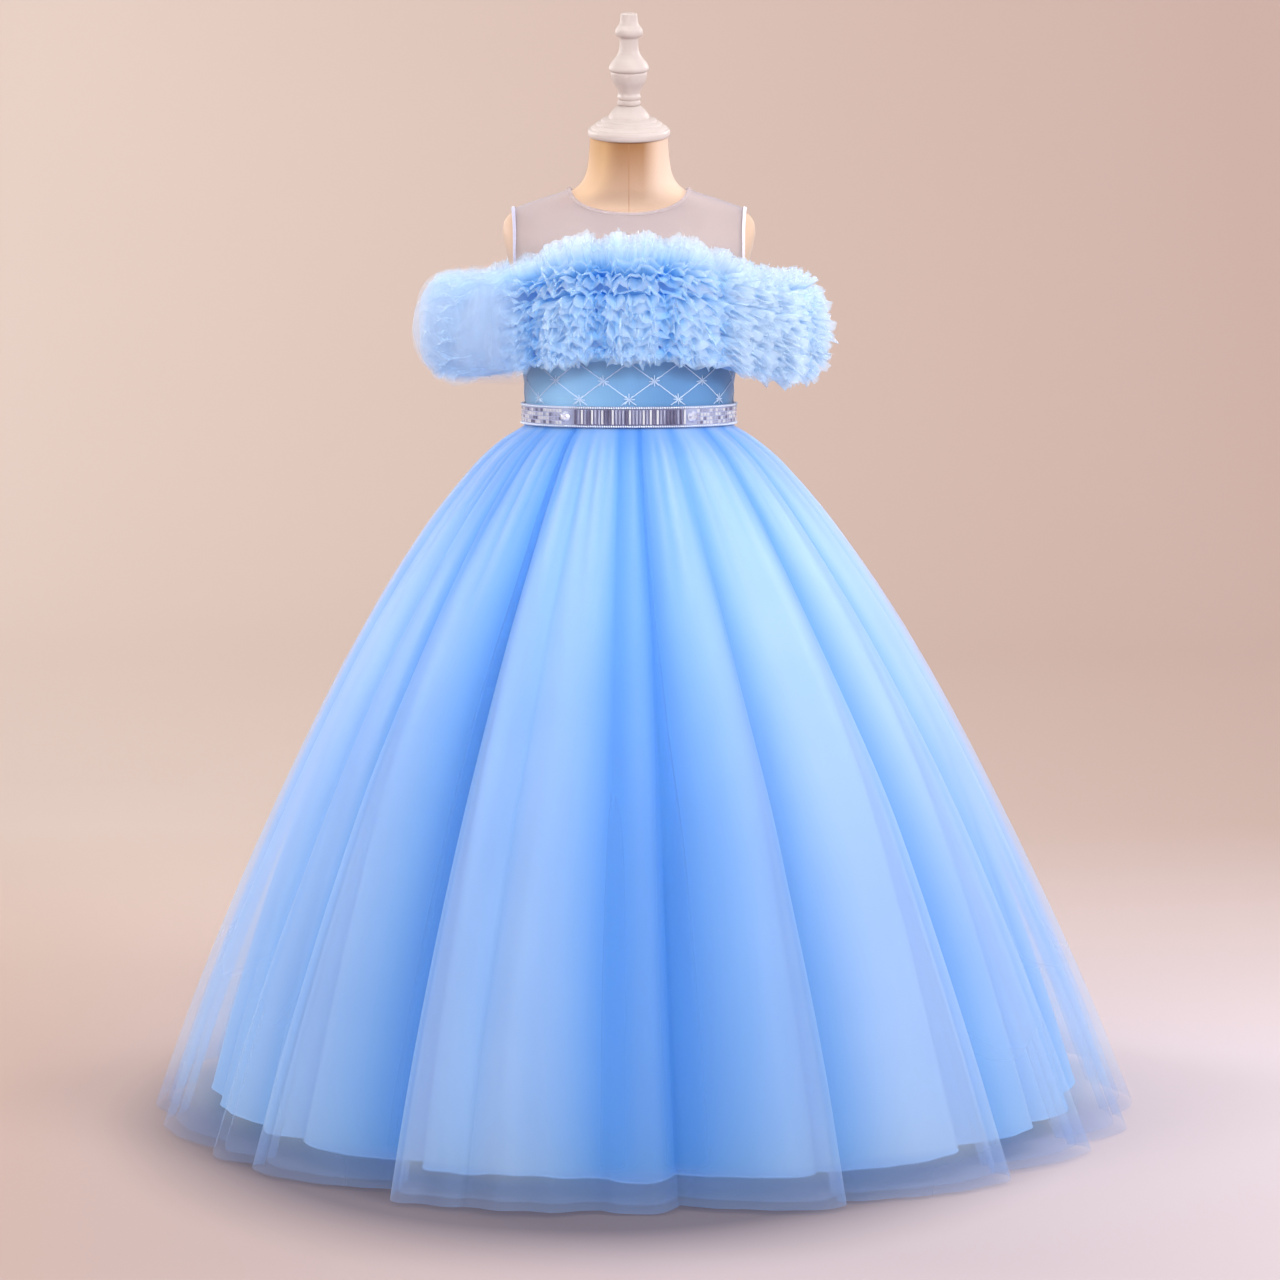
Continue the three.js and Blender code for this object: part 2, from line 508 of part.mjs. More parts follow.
// The zip's slider, closed at the top of the back, and the pull tab that swings on its bar.
function addZipPull(zipFrame) {
  const { p, across, normal } = zipFrame(SLIDER.z);
  const up = normal.clone().cross(across).normalize();
  const seat = new THREE.Matrix4().makeBasis(across, up, normal).setPosition(p);
  const box = (w, h, d, x, y, z) => new THREE.BoxGeometry(w, h, d).translate(x, y, z);
  const thick = SLIDER.high - SLIDER.low;
  const body = box(SLIDER.width, SLIDER.length, thick, 0, 0, SLIDER.low + thick / 2);
  const posts = [-1, 1].map((side) => {
    const height = SLIDER.barHeight + SLIDER.barRadius - SLIDER.high + 0.2;
    return box(0.8, 1.8, height, side * 2.2, 0, SLIDER.high - 0.2 + height / 2);
  });
  const bar = new THREE.CylinderGeometry(SLIDER.barRadius, SLIDER.barRadius, 4, 12).rotateZ(quarterTurn);
  const slider = joined([body, ...posts, bar.translate(0, 0, SLIDER.barHeight)]);
  place("zip_slider", slider.applyMatrix4(seat), MATERIALS.metal);

  const outline = new THREE.Shape();
  outline.absarc(0, 0, PULL.eyeOuter, -quarterTurn / 2, Math.PI + quarterTurn / 2, false);
  outline.lineTo(-PULL.halfThick, -PULL.eyeOuter);
  outline.lineTo(-PULL.halfThick, -PULL.length);
  outline.lineTo(PULL.halfThick, -PULL.length);
  outline.lineTo(PULL.halfThick, -PULL.eyeOuter);
  outline.closePath();
  outline.holes.push(new THREE.Path().absarc(0, 0, PULL.eyeInner, 0, 2 * Math.PI, true));
  const thickness = { depth: PULL.width, bevelEnabled: false, curveSegments: 10 };
  const tab = new THREE.ExtrudeGeometry(outline, thickness);
  // The outline is drawn across the bar: its x is the height off the tape and its y runs up the tape.
  const turn = new THREE.Matrix4().makeBasis(
    new THREE.Vector3(0, 0, 1),
    new THREE.Vector3(0, 1, 0),
    new THREE.Vector3(-1, 0, 0),
  );
  tab.translate(0, 0, -PULL.width / 2).applyMatrix4(turn).translate(0, 0, SLIDER.barHeight);
  place("zip_pull", tab.applyMatrix4(seat), MATERIALS.metal);
}

// ---------------------------------------------------------------- skirt
const skirt = (column, z) => along(SKIRT_PROFILE, "z", column, z);
const skirtDrop = (z) => clamp01((WAIST_Z - z) / (WAIST_Z - TULLE_HEM_Z));

// Skirt surface: position runs through the folds in order, 0 at the back; layer is "tulle" or "lining".
function skirtPoint(layer, position, z) {
  const count = SKIRT_FOLDS.length;
  const wrapped = ((position % count) + count) % count;
  const i = Math.floor(wrapped);
  const t = wrapped - i;
  const here = SKIRT_FOLDS[i];
  const next = SKIRT_FOLDS[(i + 1) % count];
  const turn = i === count - 1 ? 360 : 0;
  const drop = skirtDrop(z);
  const blend = smooth(drop * 1.15);
  const from = mix(here.waist, here.hem, blend);
  const to = mix(next.waist, next.hem, blend) + turn;
  // The fold is a rounded lobe between two sharp valleys; its crest leans sideways lower down.
  const lobe = Math.sin(Math.PI * t) ** 0.85;
  const azimuth = radians(mix(from, to, t) + here.lean * blend * lobe * (to - from));
  const floor = mix(here.floor, next.floor, smooth(t));
  const depth = skirt(`${layer}Fold`, z);
  const radius = skirt(layer, z) - depth + depth * mix(floor, here.height, lobe);
  const power = 2 / skirt("square", z);
  const x = radius * signedPower(Math.sin(azimuth), power) + SKIRT_SWAY.x * drop;
  const depthwise = radius * skirt("depthRatio", z) * signedPower(Math.cos(azimuth), power);
  const y = section("yCentre", WAIST_Z) + SKIRT_SWAY.y * drop - depthwise;
  return new THREE.Vector3(x, y, z);
}

function addSkirt() {
  const layers = [
    { name: "skirt_lining", layer: "lining", rows: [LINING_HEM_Z, 220, 410, 550, 640, 674, 685.5, 698.6] },
    { name: "skirt_tulle", layer: "tulle", rows: [TULLE_HEM_Z, 220, 410, 550, 640, 674, 688.5, 698.6] },
  ];
  for (const { name, layer, rows } of layers) {
    const surface = (position, z) => skirtPoint(layer, position, z);
    const wall = { inner: 0, outer: SKIRT_WALL };
    const columns = SKIRT_FOLDS.flatMap((_, i) => FOLD_STEPS[layer].map((t) => i + t));
    const columnsOf = () => columns;
    const material = layer === "tulle" ? MATERIALS.tulle : MATERIALS.satin;
    place(name, wallOn(surface, rows, columnsOf, wall, { closed: true, du: 0.02, dv: 0.5 }), material);
  }
}

// ---------------------------------------------------------------- shoulder band and ruffles
// The closed loop of the band in plan, as a smooth curve; share 0 is the back middle, 0.5 the front middle.
const loopCurve = (() => {
  const quarter = BAND_LOOP.map(({ x, y }) => [x, y]);
  const side = [...quarter.slice(0, -1), ...[...quarter].reverse().map(([x, y]) => [x, -y])];
  const other = [...side].reverse().slice(1, -1).map(([x, y]) => [-x, y]);
  // Start at the back middle, go round the -X side to the front middle, then the +X side.
  const points = [...side, ...other].map(([x, y]) => new THREE.Vector3(x, -y + BAND.yCentre, 0));
  const start = side.length - 1;
  const ordered = points.map((_, i) => points[(start + i) % points.length]);
  const curve = new THREE.CatmullRomCurve3(ordered, true, "centripetal");
  curve.arcLengthDivisions = 600;
  return curve;
})();

// How far towards the arm a place on the loop lies, from 0 on the chest to 1 on the arm.
const armShare = (x) => smooth((Math.abs(x) - BAND.dropFrom) / (BAND.dropTo - BAND.dropFrom));

function bandPoint(share, z) {
  const p = loopCurve.getPointAt(((share % 1) + 1) % 1);
  const arm = armShare(p.x);
  return new THREE.Vector3(p.x + BAND.shift * arm, p.y, z - BAND.drop * arm);
}

function addBand() {
  const columns = spread(RUFFLE_BACK_GAP, 1 - RUFFLE_BACK_GAP, BAND_COLUMNS);
  const wall = { inner: -BAND.wall, outer: 0 };
  const band = wallOn(bandPoint, [BAND.low, BAND.high], () => columns, wall, { du: 1e-3, dv: 0.5 });
  place("shoulder_band", band, MATERIALS.ruffle);
}

// A ruffle: v runs from the sewn edge, 0, to the free edge, 1; the pleats deepen towards the free edge.
function rufflePoint(row, share, v) {
  const base = bandPoint(share, row.root);
  const ahead = bandPoint(share + 1e-3, row.root);
  const behind = bandPoint(share - 1e-3, row.root);
  const out = ahead.sub(behind).setZ(0).normalize().cross(new THREE.Vector3(0, 0, 1));
  const side = armShare(loopCurve.getPointAt(((share % 1) + 1) % 1).x);
  base.setZ(mix(row.root, row.armRoot, side));
  const wave = Math.cos(2 * Math.PI * row.pleats * share);
  const reach = row.reach * v + row.depth * 0.5 * wave * v;
  const rise = row.rise - Math.abs(row.rise) * row.sideLoss * side;
  const up = rise * Math.max(0, v) ** 1.3 - wave * row.depth * 0.5 * v;
  return base.addScaledVector(out, SEAM_GAP + RUFFLE_WALL / 2 + reach).setZ(base.z + up);
}

function addRuffles() {
  for (const row of RUFFLE_ROWS) {
    const columns = spread(RUFFLE_BACK_GAP, 1 - RUFFLE_BACK_GAP, row.pleats * 4);
    const surface = (share, v) => rufflePoint(row, share, v);
    const wall = { inner: -RUFFLE_WALL / 2, outer: RUFFLE_WALL / 2 };
    const ruffle = wallOn(surface, [0, 0.5, 1], () => columns, wall, { du: 1e-3, dv: 0.02 });
    place(row.name, ruffle, MATERIALS.ruffle);
  }
}

addDressForm();
addBodice();
addTrims();
addSkirt();
addBand();
addRuffles();

export default gown;
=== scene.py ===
"""A girl's tulle ball gown on a limbless dress form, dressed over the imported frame.

The shapes are worked out in millimetres from the same tables as the solids and scaled to metres when a
mesh is made. +Z is up, the front of the gown faces -Y and +X is the viewer's right.
"""
import math

import bpy
import numpy as np
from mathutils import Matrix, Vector


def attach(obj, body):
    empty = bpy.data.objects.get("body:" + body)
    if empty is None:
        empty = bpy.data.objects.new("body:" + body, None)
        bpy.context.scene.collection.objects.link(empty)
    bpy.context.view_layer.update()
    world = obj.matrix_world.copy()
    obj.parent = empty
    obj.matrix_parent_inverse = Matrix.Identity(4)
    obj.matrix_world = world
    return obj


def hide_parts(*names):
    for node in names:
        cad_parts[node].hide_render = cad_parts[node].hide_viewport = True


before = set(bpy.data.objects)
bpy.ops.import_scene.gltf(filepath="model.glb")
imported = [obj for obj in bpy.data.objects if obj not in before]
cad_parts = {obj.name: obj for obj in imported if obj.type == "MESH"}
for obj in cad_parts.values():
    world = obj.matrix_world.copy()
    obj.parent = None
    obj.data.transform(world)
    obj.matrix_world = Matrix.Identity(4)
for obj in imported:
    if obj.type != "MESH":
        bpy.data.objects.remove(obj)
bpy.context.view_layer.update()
BODY = "gown_and_form"
MM = 0.001
NARROWEST_CUT = 0.01
LEAST_CUT_SHARE = 0.31

# ------------------------------------------------------------------ sizes, in millimetres
SEAM_GAP = 0.3
WAIST_Z = 700
BODICE_TOP_Z = 850
NECK_HALF_WIDTH = 57
NECK_FRONT_Z = 900
NECK_BACK_Z = 913
ARMHOLE_TOP_X = 117
ARMHOLE_LOW_X = 112
ARMHOLE_DIP = 34
BELT_LOW, BELT_HIGH = 689.5, 710.5
BELT_OUT = 6.2
BELT_STONE_X = 60
BACK_OPENING = 3.3
LINING_HEM_Z = 20
TULLE_HEM_Z = 4
SWAY_X, SWAY_Y = 15, -10
FORM_INSET = 1.2
# How far the cloth lies off the torso, and half the gap at the side seams in degrees.
BODICE_IN, BODICE_OUT, YOKE_OUT = 1.0, 2.4, 2.0
SIDE_SEAM = 0.08
BINDING_WIDE, BINDING_OUT = 4.0, 3.2
FORM_SEAM_RADIUS, TURNED_SIDES = 0.3, 96
NECK_TILT = math.radians(10)
NECK_TILT_FROM_Z = 948

TORSO = {
    "z": [560, 620, 660, 700, 745, 790, 815, 845, 868, 884, 896, 904, 913, 922, 932, 948, 976],
    "half_width": [110, 114, 106, 101.5, 105, 109, 113, 120, 126, 128, 124, 112, 87, 60, 48, 42.5, 40],
    "half_depth": [84, 87, 82, 79, 82, 87, 90, 86, 74, 60, 49, 44, 43, 43, 42, 40, 38],
    "y_centre": [3, 3, 1, -1, -2, -3, -3, -1, 2, 4, 4, 3, 2, 0, -1, -2, -3],
    "square": [2.2] * 9 + [2.15, 2.1] + [2] * 6,
}
SKIRT = {
    "z": [699, 688.5, 685.5, 674, 650, 590, 500, 390, 250, 120, 4],
    "tulle": [104.2, 104.2, 109, 127, 155, 206, 268, 330, 398, 455, 500],
    "tulle_fold": [0, 0, 1, 7, 12, 18, 23, 28, 33, 37, 41],
    "lining": [102.2, 102.2, 102.5, 117, 143, 195, 254, 312, 367, 411, 446],
    "lining_fold": [0, 0, 0.1, 4, 7, 12, 16, 20, 24, 28, 31],
    "depth_ratio": [0.785, 0.785, 0.79, 0.83, 0.88, 0.94, 0.98, 1, 1, 1, 1],
    "square": [2.2, 2.2, 2.2, 2.15, 2.05, 2, 2, 2, 2, 2, 2],
}
# Each fold from its own valley to the next one: azimuth at the hem and at the waist, height of its crest and
# of the valley it starts from, as shares of the full fold depth, and the lean of its crest.
FOLDS = [
    (-180, -180, 0.95, 0.3, -0.12), (-161, -162, 0.8, 0.45, 0.1), (-143, -143, 1, 0.1, -0.2),
    (-126, -126, 0.9, 0.5, 0.08), (-108, -109, 0.95, 0.25, -0.1), (-93, -93, 0.9, 0.4, 0.05),
    (-78, -78, 0.95, 0.5, -0.05), (-60, -59, 0.85, 0.5, -0.05), (-49.5, -50, 0.85, 0.35, -0.24),
    (-29.5, -28, 1, 0, -0.12), (-19.5, -17.5, 1.02, 0.82, -0.14), (-4.5, -4, 0.55, 0.42, 0.05),
    (4, 4.5, 1, 0.02, 0.24), (22, 20.5, 1.05, 0.35, 0.24), (44, 43, 1, 0.25, 0.2),
    (61.5, 61, 1, 0.2, 0.12), (77, 76, 0.95, 0.5, -0.08), (94, 94, 1, 0.3, 0.12),
    (112, 111, 0.85, 0.5, -0.1), (128, 128, 1, 0.1, 0.2), (147, 147, 0.85, 0.45, 0),
    (163, 163, 0.95, 0.35, 0.12),
]
BAND_LOOP = [(0, 97), (38, 91.8), (74, 79.4), (94, 69.5), (120, 54), (147, 36), (163, 18), (168, 0)]
BAND = {"low": 762, "high": 846, "wall": 1.5, "drop": 24, "from": 30, "to": 150, "y": -3, "shift": -8}
ROW_GAP = 0.006
# Each ruffle: height of its sewn edge at the front and at the arms, the share of its rise lost at the arms,
# and its gathered strips, each as how far the free edge stands out and rises, at the front and at the arms.
ROWS = {
    "top_frill": (843, 819, 0.35, [(5, 41, 5, 41), (12, 39, 13, 39), (19, 34, 21, 33), (25, 28, 28, 26)]),
    "row_1": (836, 812, 0.3, [(27, 21, 31, 21), (30, 11, 35, 13), (31, 1, 37, 4), (30, -9, 38, -5)]),
    "row_2": (820, 797, 0, [(31, 5, 39, 9), (31, -8, 43, 1), (29, -17, 43, -8), (25, -26, 39, -17)]),
    "row_3": (803, 781, 0, [(31, -4, 41, 3), (30, -14, 45, -5), (27, -23, 43, -14), (22, -31, 37, -23)]),
    "row_4": (786, 765, 0, [(28, -7, 38, 1), (27, -14, 41, -8), (23, -22, 38, -17), (18, -28, 31, -24)]),
    "row_5": (768, 750, 0, [(22, -3, 27, 2), (22, -8, 30, -8), (19, -13, 28, -15), (14, -16, 22, -19)]),
}
# Hollows between the bunches of the ruffles: distance round the band from the front middle, and half width.
BUNCH_GAPS = [(-205, 14), (-128, 17), (-88, 9), (-26, 11), (34, 10), (74, 6), (170, 10)]
# The cloth of the standing frill and of the rows: pleats round the band and their height, how far a pleat
# sways and is combed along the band, how ragged its edge is, how deep the hollows go, how far it arches up, how
# far it drops where it is combed, and how much paler it is.
FRILL = {"pleats": 110, "high": 3.1, "sway": 2, "comb": 8, "ragged": 0.45, "gap": 0.35, "arch": 0, "drop": 0,
         "pale": 0.1}
RUFFLE = {"pleats": 84, "high": 4.6, "sway": 8, "comb": 26, "ragged": 1, "gap": 1, "arch": 4, "drop": 3,
          "pale": 0}

# ------------------------------------------------------------------ small mathematics
def smooth(t):
    t = np.clip(t, 0, 1)
    return t * t * (3 - 2 * t)


def mix(a, b, t):
    return a + (b - a) * t


def hermite(a, slope_a, b, slope_b, t):
    """A smooth way from a to b, t from 0 to 1, with the slope given at each end."""
    return (a * (2 * t**3 - 3 * t**2 + 1) + slope_a * (t**3 - 2 * t**2 + t)
            + b * (3 * t**2 - 2 * t**3) + slope_b * (t**3 - t**2))


def along(table, column, z):
    """Smooth value of one column of a table at a height, through every row, as the solids have it."""
    heights, values = np.array(table["z"], float), np.array(table[column], float)
    order = np.argsort(heights)
    heights, values = heights[order], values[order]
    n = len(heights)
    before, after = np.maximum(np.arange(n) - 1, 0), np.minimum(np.arange(n) + 1, n - 1)
    slope = (values[after] - values[before]) / (heights[after] - heights[before])
    z = np.clip(z, heights[0], heights[-1])
    i = np.clip(np.searchsorted(heights, z, side="right") - 1, 0, n - 2)
    span = heights[i + 1] - heights[i]
    return hermite(values[i], slope[i] * span, values[i + 1], slope[i + 1] * span, (z - heights[i]) / span)


def signed_power(value, power):
    return np.sign(value) * np.abs(value) ** power


def unit(vectors):
    return vectors / np.maximum(np.linalg.norm(vectors, axis=-1, keepdims=True), 1e-9)


def stack(x, y, z):
    return np.stack(np.broadcast_arrays(x, y, z), axis=-1).astype(float)


def lengths_along(line):
    """How far each point of a line lies from its first point."""
    return np.concatenate([[0], np.cumsum(np.linalg.norm(np.diff(line, axis=0), axis=1))])


def ripple(u, seed, slowest, fastest, terms=7):
    """Smooth uneven waves along u, which runs from 0 to 1 round a closed loop. About -1 to 1."""
    draw = np.random.default_rng(seed)
    total = 0
    for _ in range(terms):
        turns, phase = draw.integers(slowest, fastest + 1), draw.uniform(0, 2 * np.pi)
        size = draw.uniform(0.5, 1)
        total = total + size * np.sin(2 * np.pi * turns * u + phase)
    return total / (0.75 * terms**0.5 * 1.6)


# ------------------------------------------------------------------ surfaces
def section(column, z):
    return along(TORSO, column, z)


def torso_point(azimuth, z, off=0.0):
    a, power = np.radians(azimuth), 2 / section("square", z)
    x = (section("half_width", z) + off) * signed_power(np.sin(a), power)
    y = section("y_centre", z) - (section("half_depth", z) + off) * signed_power(np.cos(a), power)
    return stack(x, y, z)


def torso_normal(points):
    x, y, z = points[..., 0], points[..., 1], points[..., 2]

    def level(px, py, pz):
        across = np.abs(px) / section("half_width", pz)
        deep = np.abs(py - section("y_centre", pz)) / section("half_depth", pz)
        return across ** section("square", pz) + deep ** section("square", pz)

    h = 0.05
    return unit(stack(
        level(x + h, y, z) - level(x - h, y, z),
        level(x, y + h, z) - level(x, y - h, z),
        level(x, y, z + h) - level(x, y, z - h),
    ))


def azimuth_of(x, z):
    share = np.minimum(1, np.abs(x) / section("half_width", z))
    return np.sign(x) * np.degrees(np.arcsin(share ** (section("square", z) / 2)))


def bodice_top(azimuth):
    edge = azimuth_of(ARMHOLE_LOW_X, BODICE_TOP_Z)
    share = np.clip(np.abs(np.abs(azimuth) - 90) / (90 - edge), 0, 1)
    return BODICE_TOP_Z - ARMHOLE_DIP * np.cos(share * np.pi / 2) ** 0.8


RIDGE_Z = np.linspace(975, 886, 900)
RIDGE_X = section("half_width", RIDGE_Z)


def yoke_point(x, w):
    in_neck = np.clip(np.abs(x) / NECK_HALF_WIDTH, 0, 1)
    neck_low = np.where(w < 0, NECK_FRONT_Z, NECK_BACK_Z)
    shoulder = np.interp(np.maximum(np.abs(x), NECK_HALF_WIDTH), RIDGE_X, RIDGE_Z)
    top = shoulder - (shoulder - neck_low) * np.sqrt(1 - in_neck**2)
    z = top - (top - BODICE_TOP_Z - SEAM_GAP) * np.abs(w) ** (1 + in_neck**4)
    share, square = np.minimum(1, np.abs(x) / section("half_width", z)), section("square", z)
    out = section("half_depth", z) * (1 - share**square) ** (1 / square)
    return stack(x, section("y_centre", z) + np.sign(w) * out, z)


def armhole_x(w):
    return mix(ARMHOLE_TOP_X, ARMHOLE_LOW_X, np.abs(w))


FOLD_HEM, FOLD_WAIST, FOLD_HEIGHT, FOLD_FLOOR, FOLD_LEAN = (np.array(column, float) for column in zip(*FOLDS))


def skirt_point(layer, position, z, lean_gain=1.0, inward=0.0):
    """Point of the skirt, how far it lies from valley, 0, to crest, 1, and the fine gathers there.

    position counts folds from the back.
    """
    count = len(FOLDS)
    wrapped = np.mod(position, count)
    i = np.floor(wrapped).astype(int) % count
    t = wrapped - np.floor(wrapped)
    j = (i + 1) % count
    turn = np.where(i == count - 1, 360, 0)
    drop = np.clip((WAIST_Z - z) / (WAIST_Z - TULLE_HEM_Z), 0, 1)
    blend = smooth(drop * 1.15)
    start = mix(FOLD_WAIST[i], FOLD_HEM[i], blend)
    end = mix(FOLD_WAIST[j], FOLD_HEM[j], blend) + turn
    lobe = np.sin(np.pi * t) ** 0.85
    lean = FOLD_LEAN[i] * lean_gain * smooth(drop * 1.8)
    azimuth = np.radians(mix(start, end, t) + lean * lobe * (end - start))
    level = mix(mix(FOLD_FLOOR[i], FOLD_FLOOR[j], smooth(t)), FOLD_HEIGHT[i], lobe)
    depth = along(SKIRT, layer + "_fold", z)
    radius = along(SKIRT, layer, z) - inward * drop - depth + depth * level
    # Fine gathers that start under the belt and run out further down, each as far as its own chance gives.
    round_ = np.mod(azimuth / (2 * np.pi), 1)
    run_out_z = 530 + 80 * ripple(round_, 11, 9, 40)
    shown = np.clip((z - run_out_z) / 110, 0, 1) * smooth((BELT_LOW - z) / 22)
    gather = shown * ripple(round_, 12, 50, 112, 9)
    radius = radius + 3.2 * gather
    radius = radius + drop * 3.0 * ripple(round_ + 0.004 * np.sin(z / 90), 13, 30, 64)
    power = 2 / along(SKIRT, "square", z)
    x = radius * signed_power(np.sin(azimuth), power) + SWAY_X * drop
    deep = radius * along(SKIRT, "depth_ratio", z) * signed_power(np.cos(azimuth), power)
    y = section("y_centre", WAIST_Z) + SWAY_Y * drop - deep
    return stack(x, y, z), level, gather


def loop_curve():
    """The band's loop in plan, by share of its length: 0 at the back middle and 0.5 at the front middle."""
    side = BAND_LOOP[:-1] + [(x, -y) for x, y in reversed(BAND_LOOP)]
    other = [(-x, y) for x, y in side[-2:0:-1]]
    points = np.array([(x, -y + BAND["y"]) for x, y in side + other], float)
    ordered = np.roll(points, 1 - len(side), axis=0)
    n = len(ordered)
    curves = []
    for i in range(n):
        a, b, c, d = (ordered[(i + k - 1) % n] for k in range(4))
        da, db, dc = (np.linalg.norm(q - p) ** 0.5 for p, q in ((a, b), (b, c), (c, d)))
        tb = ((b - a) / da - (c - a) / (da + db) + (c - b) / db) * db
        tc = ((c - b) / db - (d - b) / (db + dc) + (d - c) / dc) * db
        curves.append(hermite(b, tb, c, tc, np.linspace(0, 1, 60, endpoint=False)[:, None]))
    line = np.vstack(curves + [curves[0][:1]])
    return line, lengths_along(line)


LOOP, LOOP_LENGTH = loop_curve()


def loop_at(share):
    at = np.mod(share, 1) * LOOP_LENGTH[-1]
    return np.interp(at, LOOP_LENGTH, LOOP[:, 0]), np.interp(at, LOOP_LENGTH, LOOP[:, 1])


def arm_share(x):
    return smooth((np.abs(x) - BAND["from"]) / (BAND["to"] - BAND["from"]))


def loop_frame(share):
    """Plan position on the band, the outward and forward directions there, and the share towards the arm."""
    x, y = loop_at(share)
    (xa, ya), (xb, yb) = loop_at(share + 2e-3), loop_at(share - 2e-3)
    fx = (xa + BAND["shift"] * arm_share(xa)) - (xb + BAND["shift"] * arm_share(xb))
    ahead = unit(stack(fx, ya - yb, 0))
    out = stack(ahead[..., 1], -ahead[..., 0], 0)
    arm = arm_share(x)
    return x + BAND["shift"] * arm, y, out, ahead, arm


# ------------------------------------------------------------------ meshes
def quads_of(rows, columns, closed=False, flip=False):
    """The faces of a grid of points; a closed grid joins its last column to its first."""
    r, c = np.meshgrid(np.arange(rows - 1), np.arange(columns if closed else columns - 1), indexing="ij")
    low, high, d = r * columns, (r + 1) * columns, (c + 1) % columns
    quads = np.stack([low + c, low + d, high + d, high + c], axis=-1).reshape(-1, 4)
    return quads[:, ::-1] if flip else quads


def per_point(part, key, default):
    """One value of a part for each of its points."""
    values = np.asarray(part.get(key, default), float).reshape(-1)
    return np.broadcast_to(values, (part["points"].size // 3,))


def build(name, parts, material, node=None, sharp=None):
    """One object from parts of {points, quads, tone, fade, uv}, in millimetres, and the node it replaces."""
    flat = [part["points"].reshape(-1, 3) for part in parts]
    points, starts = np.vstack(flat), np.cumsum([0] + [len(p) for p in flat])
    quads = np.vstack([part["quads"] + start for part, start in zip(parts, starts)])
    uvs = np.vstack([part["uv"].reshape(-1, 2) if "uv" in part else p[:, :2] for part, p in zip(parts, flat)])
    mesh = bpy.data.meshes.new(name)
    mesh.vertices.add(len(points))
    mesh.vertices.foreach_set("co", (points * MM).ravel())
    mesh.loops.add(quads.size)
    mesh.loops.foreach_set("vertex_index", quads.ravel().astype(np.int32))
    mesh.polygons.add(len(quads))
    mesh.polygons.foreach_set("loop_start", np.arange(len(quads), dtype=np.int32) * 4)
    mesh.update(calc_edges=True)
    mesh.polygons.foreach_set("use_smooth", np.ones(len(quads), bool))
    for attribute, default in (("tone", 0.5), ("fade", 0.0)):
        values = np.concatenate([per_point(part, attribute, default) for part in parts]).astype(np.float32)
        mesh.attributes.new(attribute, "FLOAT", "POINT").data.foreach_set("value", values)
    layer = mesh.uv_layers.new(name="cloth")
    layer.data.foreach_set("uv", (uvs[quads.ravel()] * MM).ravel().astype(np.float32))
    mesh.validate()
    if sharp:
        mesh.set_sharp_from_angle(angle=math.radians(sharp))
    mesh.materials.append(material)
    obj = bpy.data.objects.new(name, mesh)
    bpy.context.scene.collection.objects.link(obj)
    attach(obj, BODY)
    if node:
        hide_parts(node)
    return obj


def flat_shaded(obj):
    obj.data.polygons.foreach_set("use_smooth", np.zeros(len(obj.data.polygons), bool))


def drawn_in(ring):
    """A ring of points drawn together to its middle, to close the end of a grid."""
    return np.broadcast_to(ring.mean(axis=1, keepdims=True), ring.shape)


def cloth_uv(points):
    """Distances along the rows and up the columns of a grid, in millimetres."""
    def run(axis):
        steps = np.linalg.norm(np.diff(points, axis=axis), axis=-1)
        return np.insert(np.cumsum(steps, axis=axis), 0, 0, axis=axis)

    return np.stack([run(1), run(0)], axis=-1)


def sheet_part(points, tone=0.5, closed=False, fade=0.0):
    rows, columns = points.shape[:2]
    return {"points": points, "quads": quads_of(rows, columns, closed), "tone": tone, "fade": fade,
            "uv": cloth_uv(points)}


def flat_size(points, closed=False):
    """Widest row, tallest column and area of a grid, in metres."""
    ring = np.concatenate([points, points[:, :1]], axis=1) if closed else points
    cross = np.cross(ring[1:, :-1] - ring[:-1, :-1], ring[:-1, 1:] - ring[:-1, :-1])
    wide = np.linalg.norm(np.diff(ring, axis=1), axis=-1).sum(axis=1).max() * MM
    tall = np.linalg.norm(np.diff(ring, axis=0), axis=-1).sum(axis=0).max() * MM
    return wide, tall, np.linalg.norm(cross, axis=-1).sum() * MM * MM


def declare(grids, closed=False):
    """Works out the cut of a piece of cloth from its grids, which are cut side by side in one strip, and keeps
    nothing of it.
    """
    sizes = [flat_size(grid, closed) for grid in grids]
    wide, tall, area = sum(s[0] for s in sizes), max(s[1] for s in sizes), sum(s[2] for s in sizes)
    wide, tall = max(wide, NARROWEST_CUT), max(tall, NARROWEST_CUT)
    area = min(max(area, LEAST_CUT_SHARE * wide * tall), wide * tall)


def shell_parts(inner, outer, tone=0.5, closed=False):
    """A closed thin shell from an inner and an outer grid; rows run up, columns towards +X at the front."""
    rows, columns = inner.shape[:2]
    uv = cloth_uv(outer)
    parts = [
        {"points": outer, "quads": quads_of(rows, columns, closed), "tone": tone, "uv": uv},
        {"points": inner, "quads": quads_of(rows, columns, closed, flip=True), "tone": tone, "uv": uv},
    ]
    low, high = np.stack([inner[0], outer[0]]), np.stack([outer[-1], inner[-1]])
    parts += [{"points": edge, "quads": quads_of(2, columns, closed)} for edge in (low, high)]
    if not closed:
        left, right = np.stack([outer[:, 0], inner[:, 0]]), np.stack([inner[:, -1], outer[:, -1]])
        parts += [{"points": edge, "quads": quads_of(2, rows)} for edge in (left, right)]
    return parts


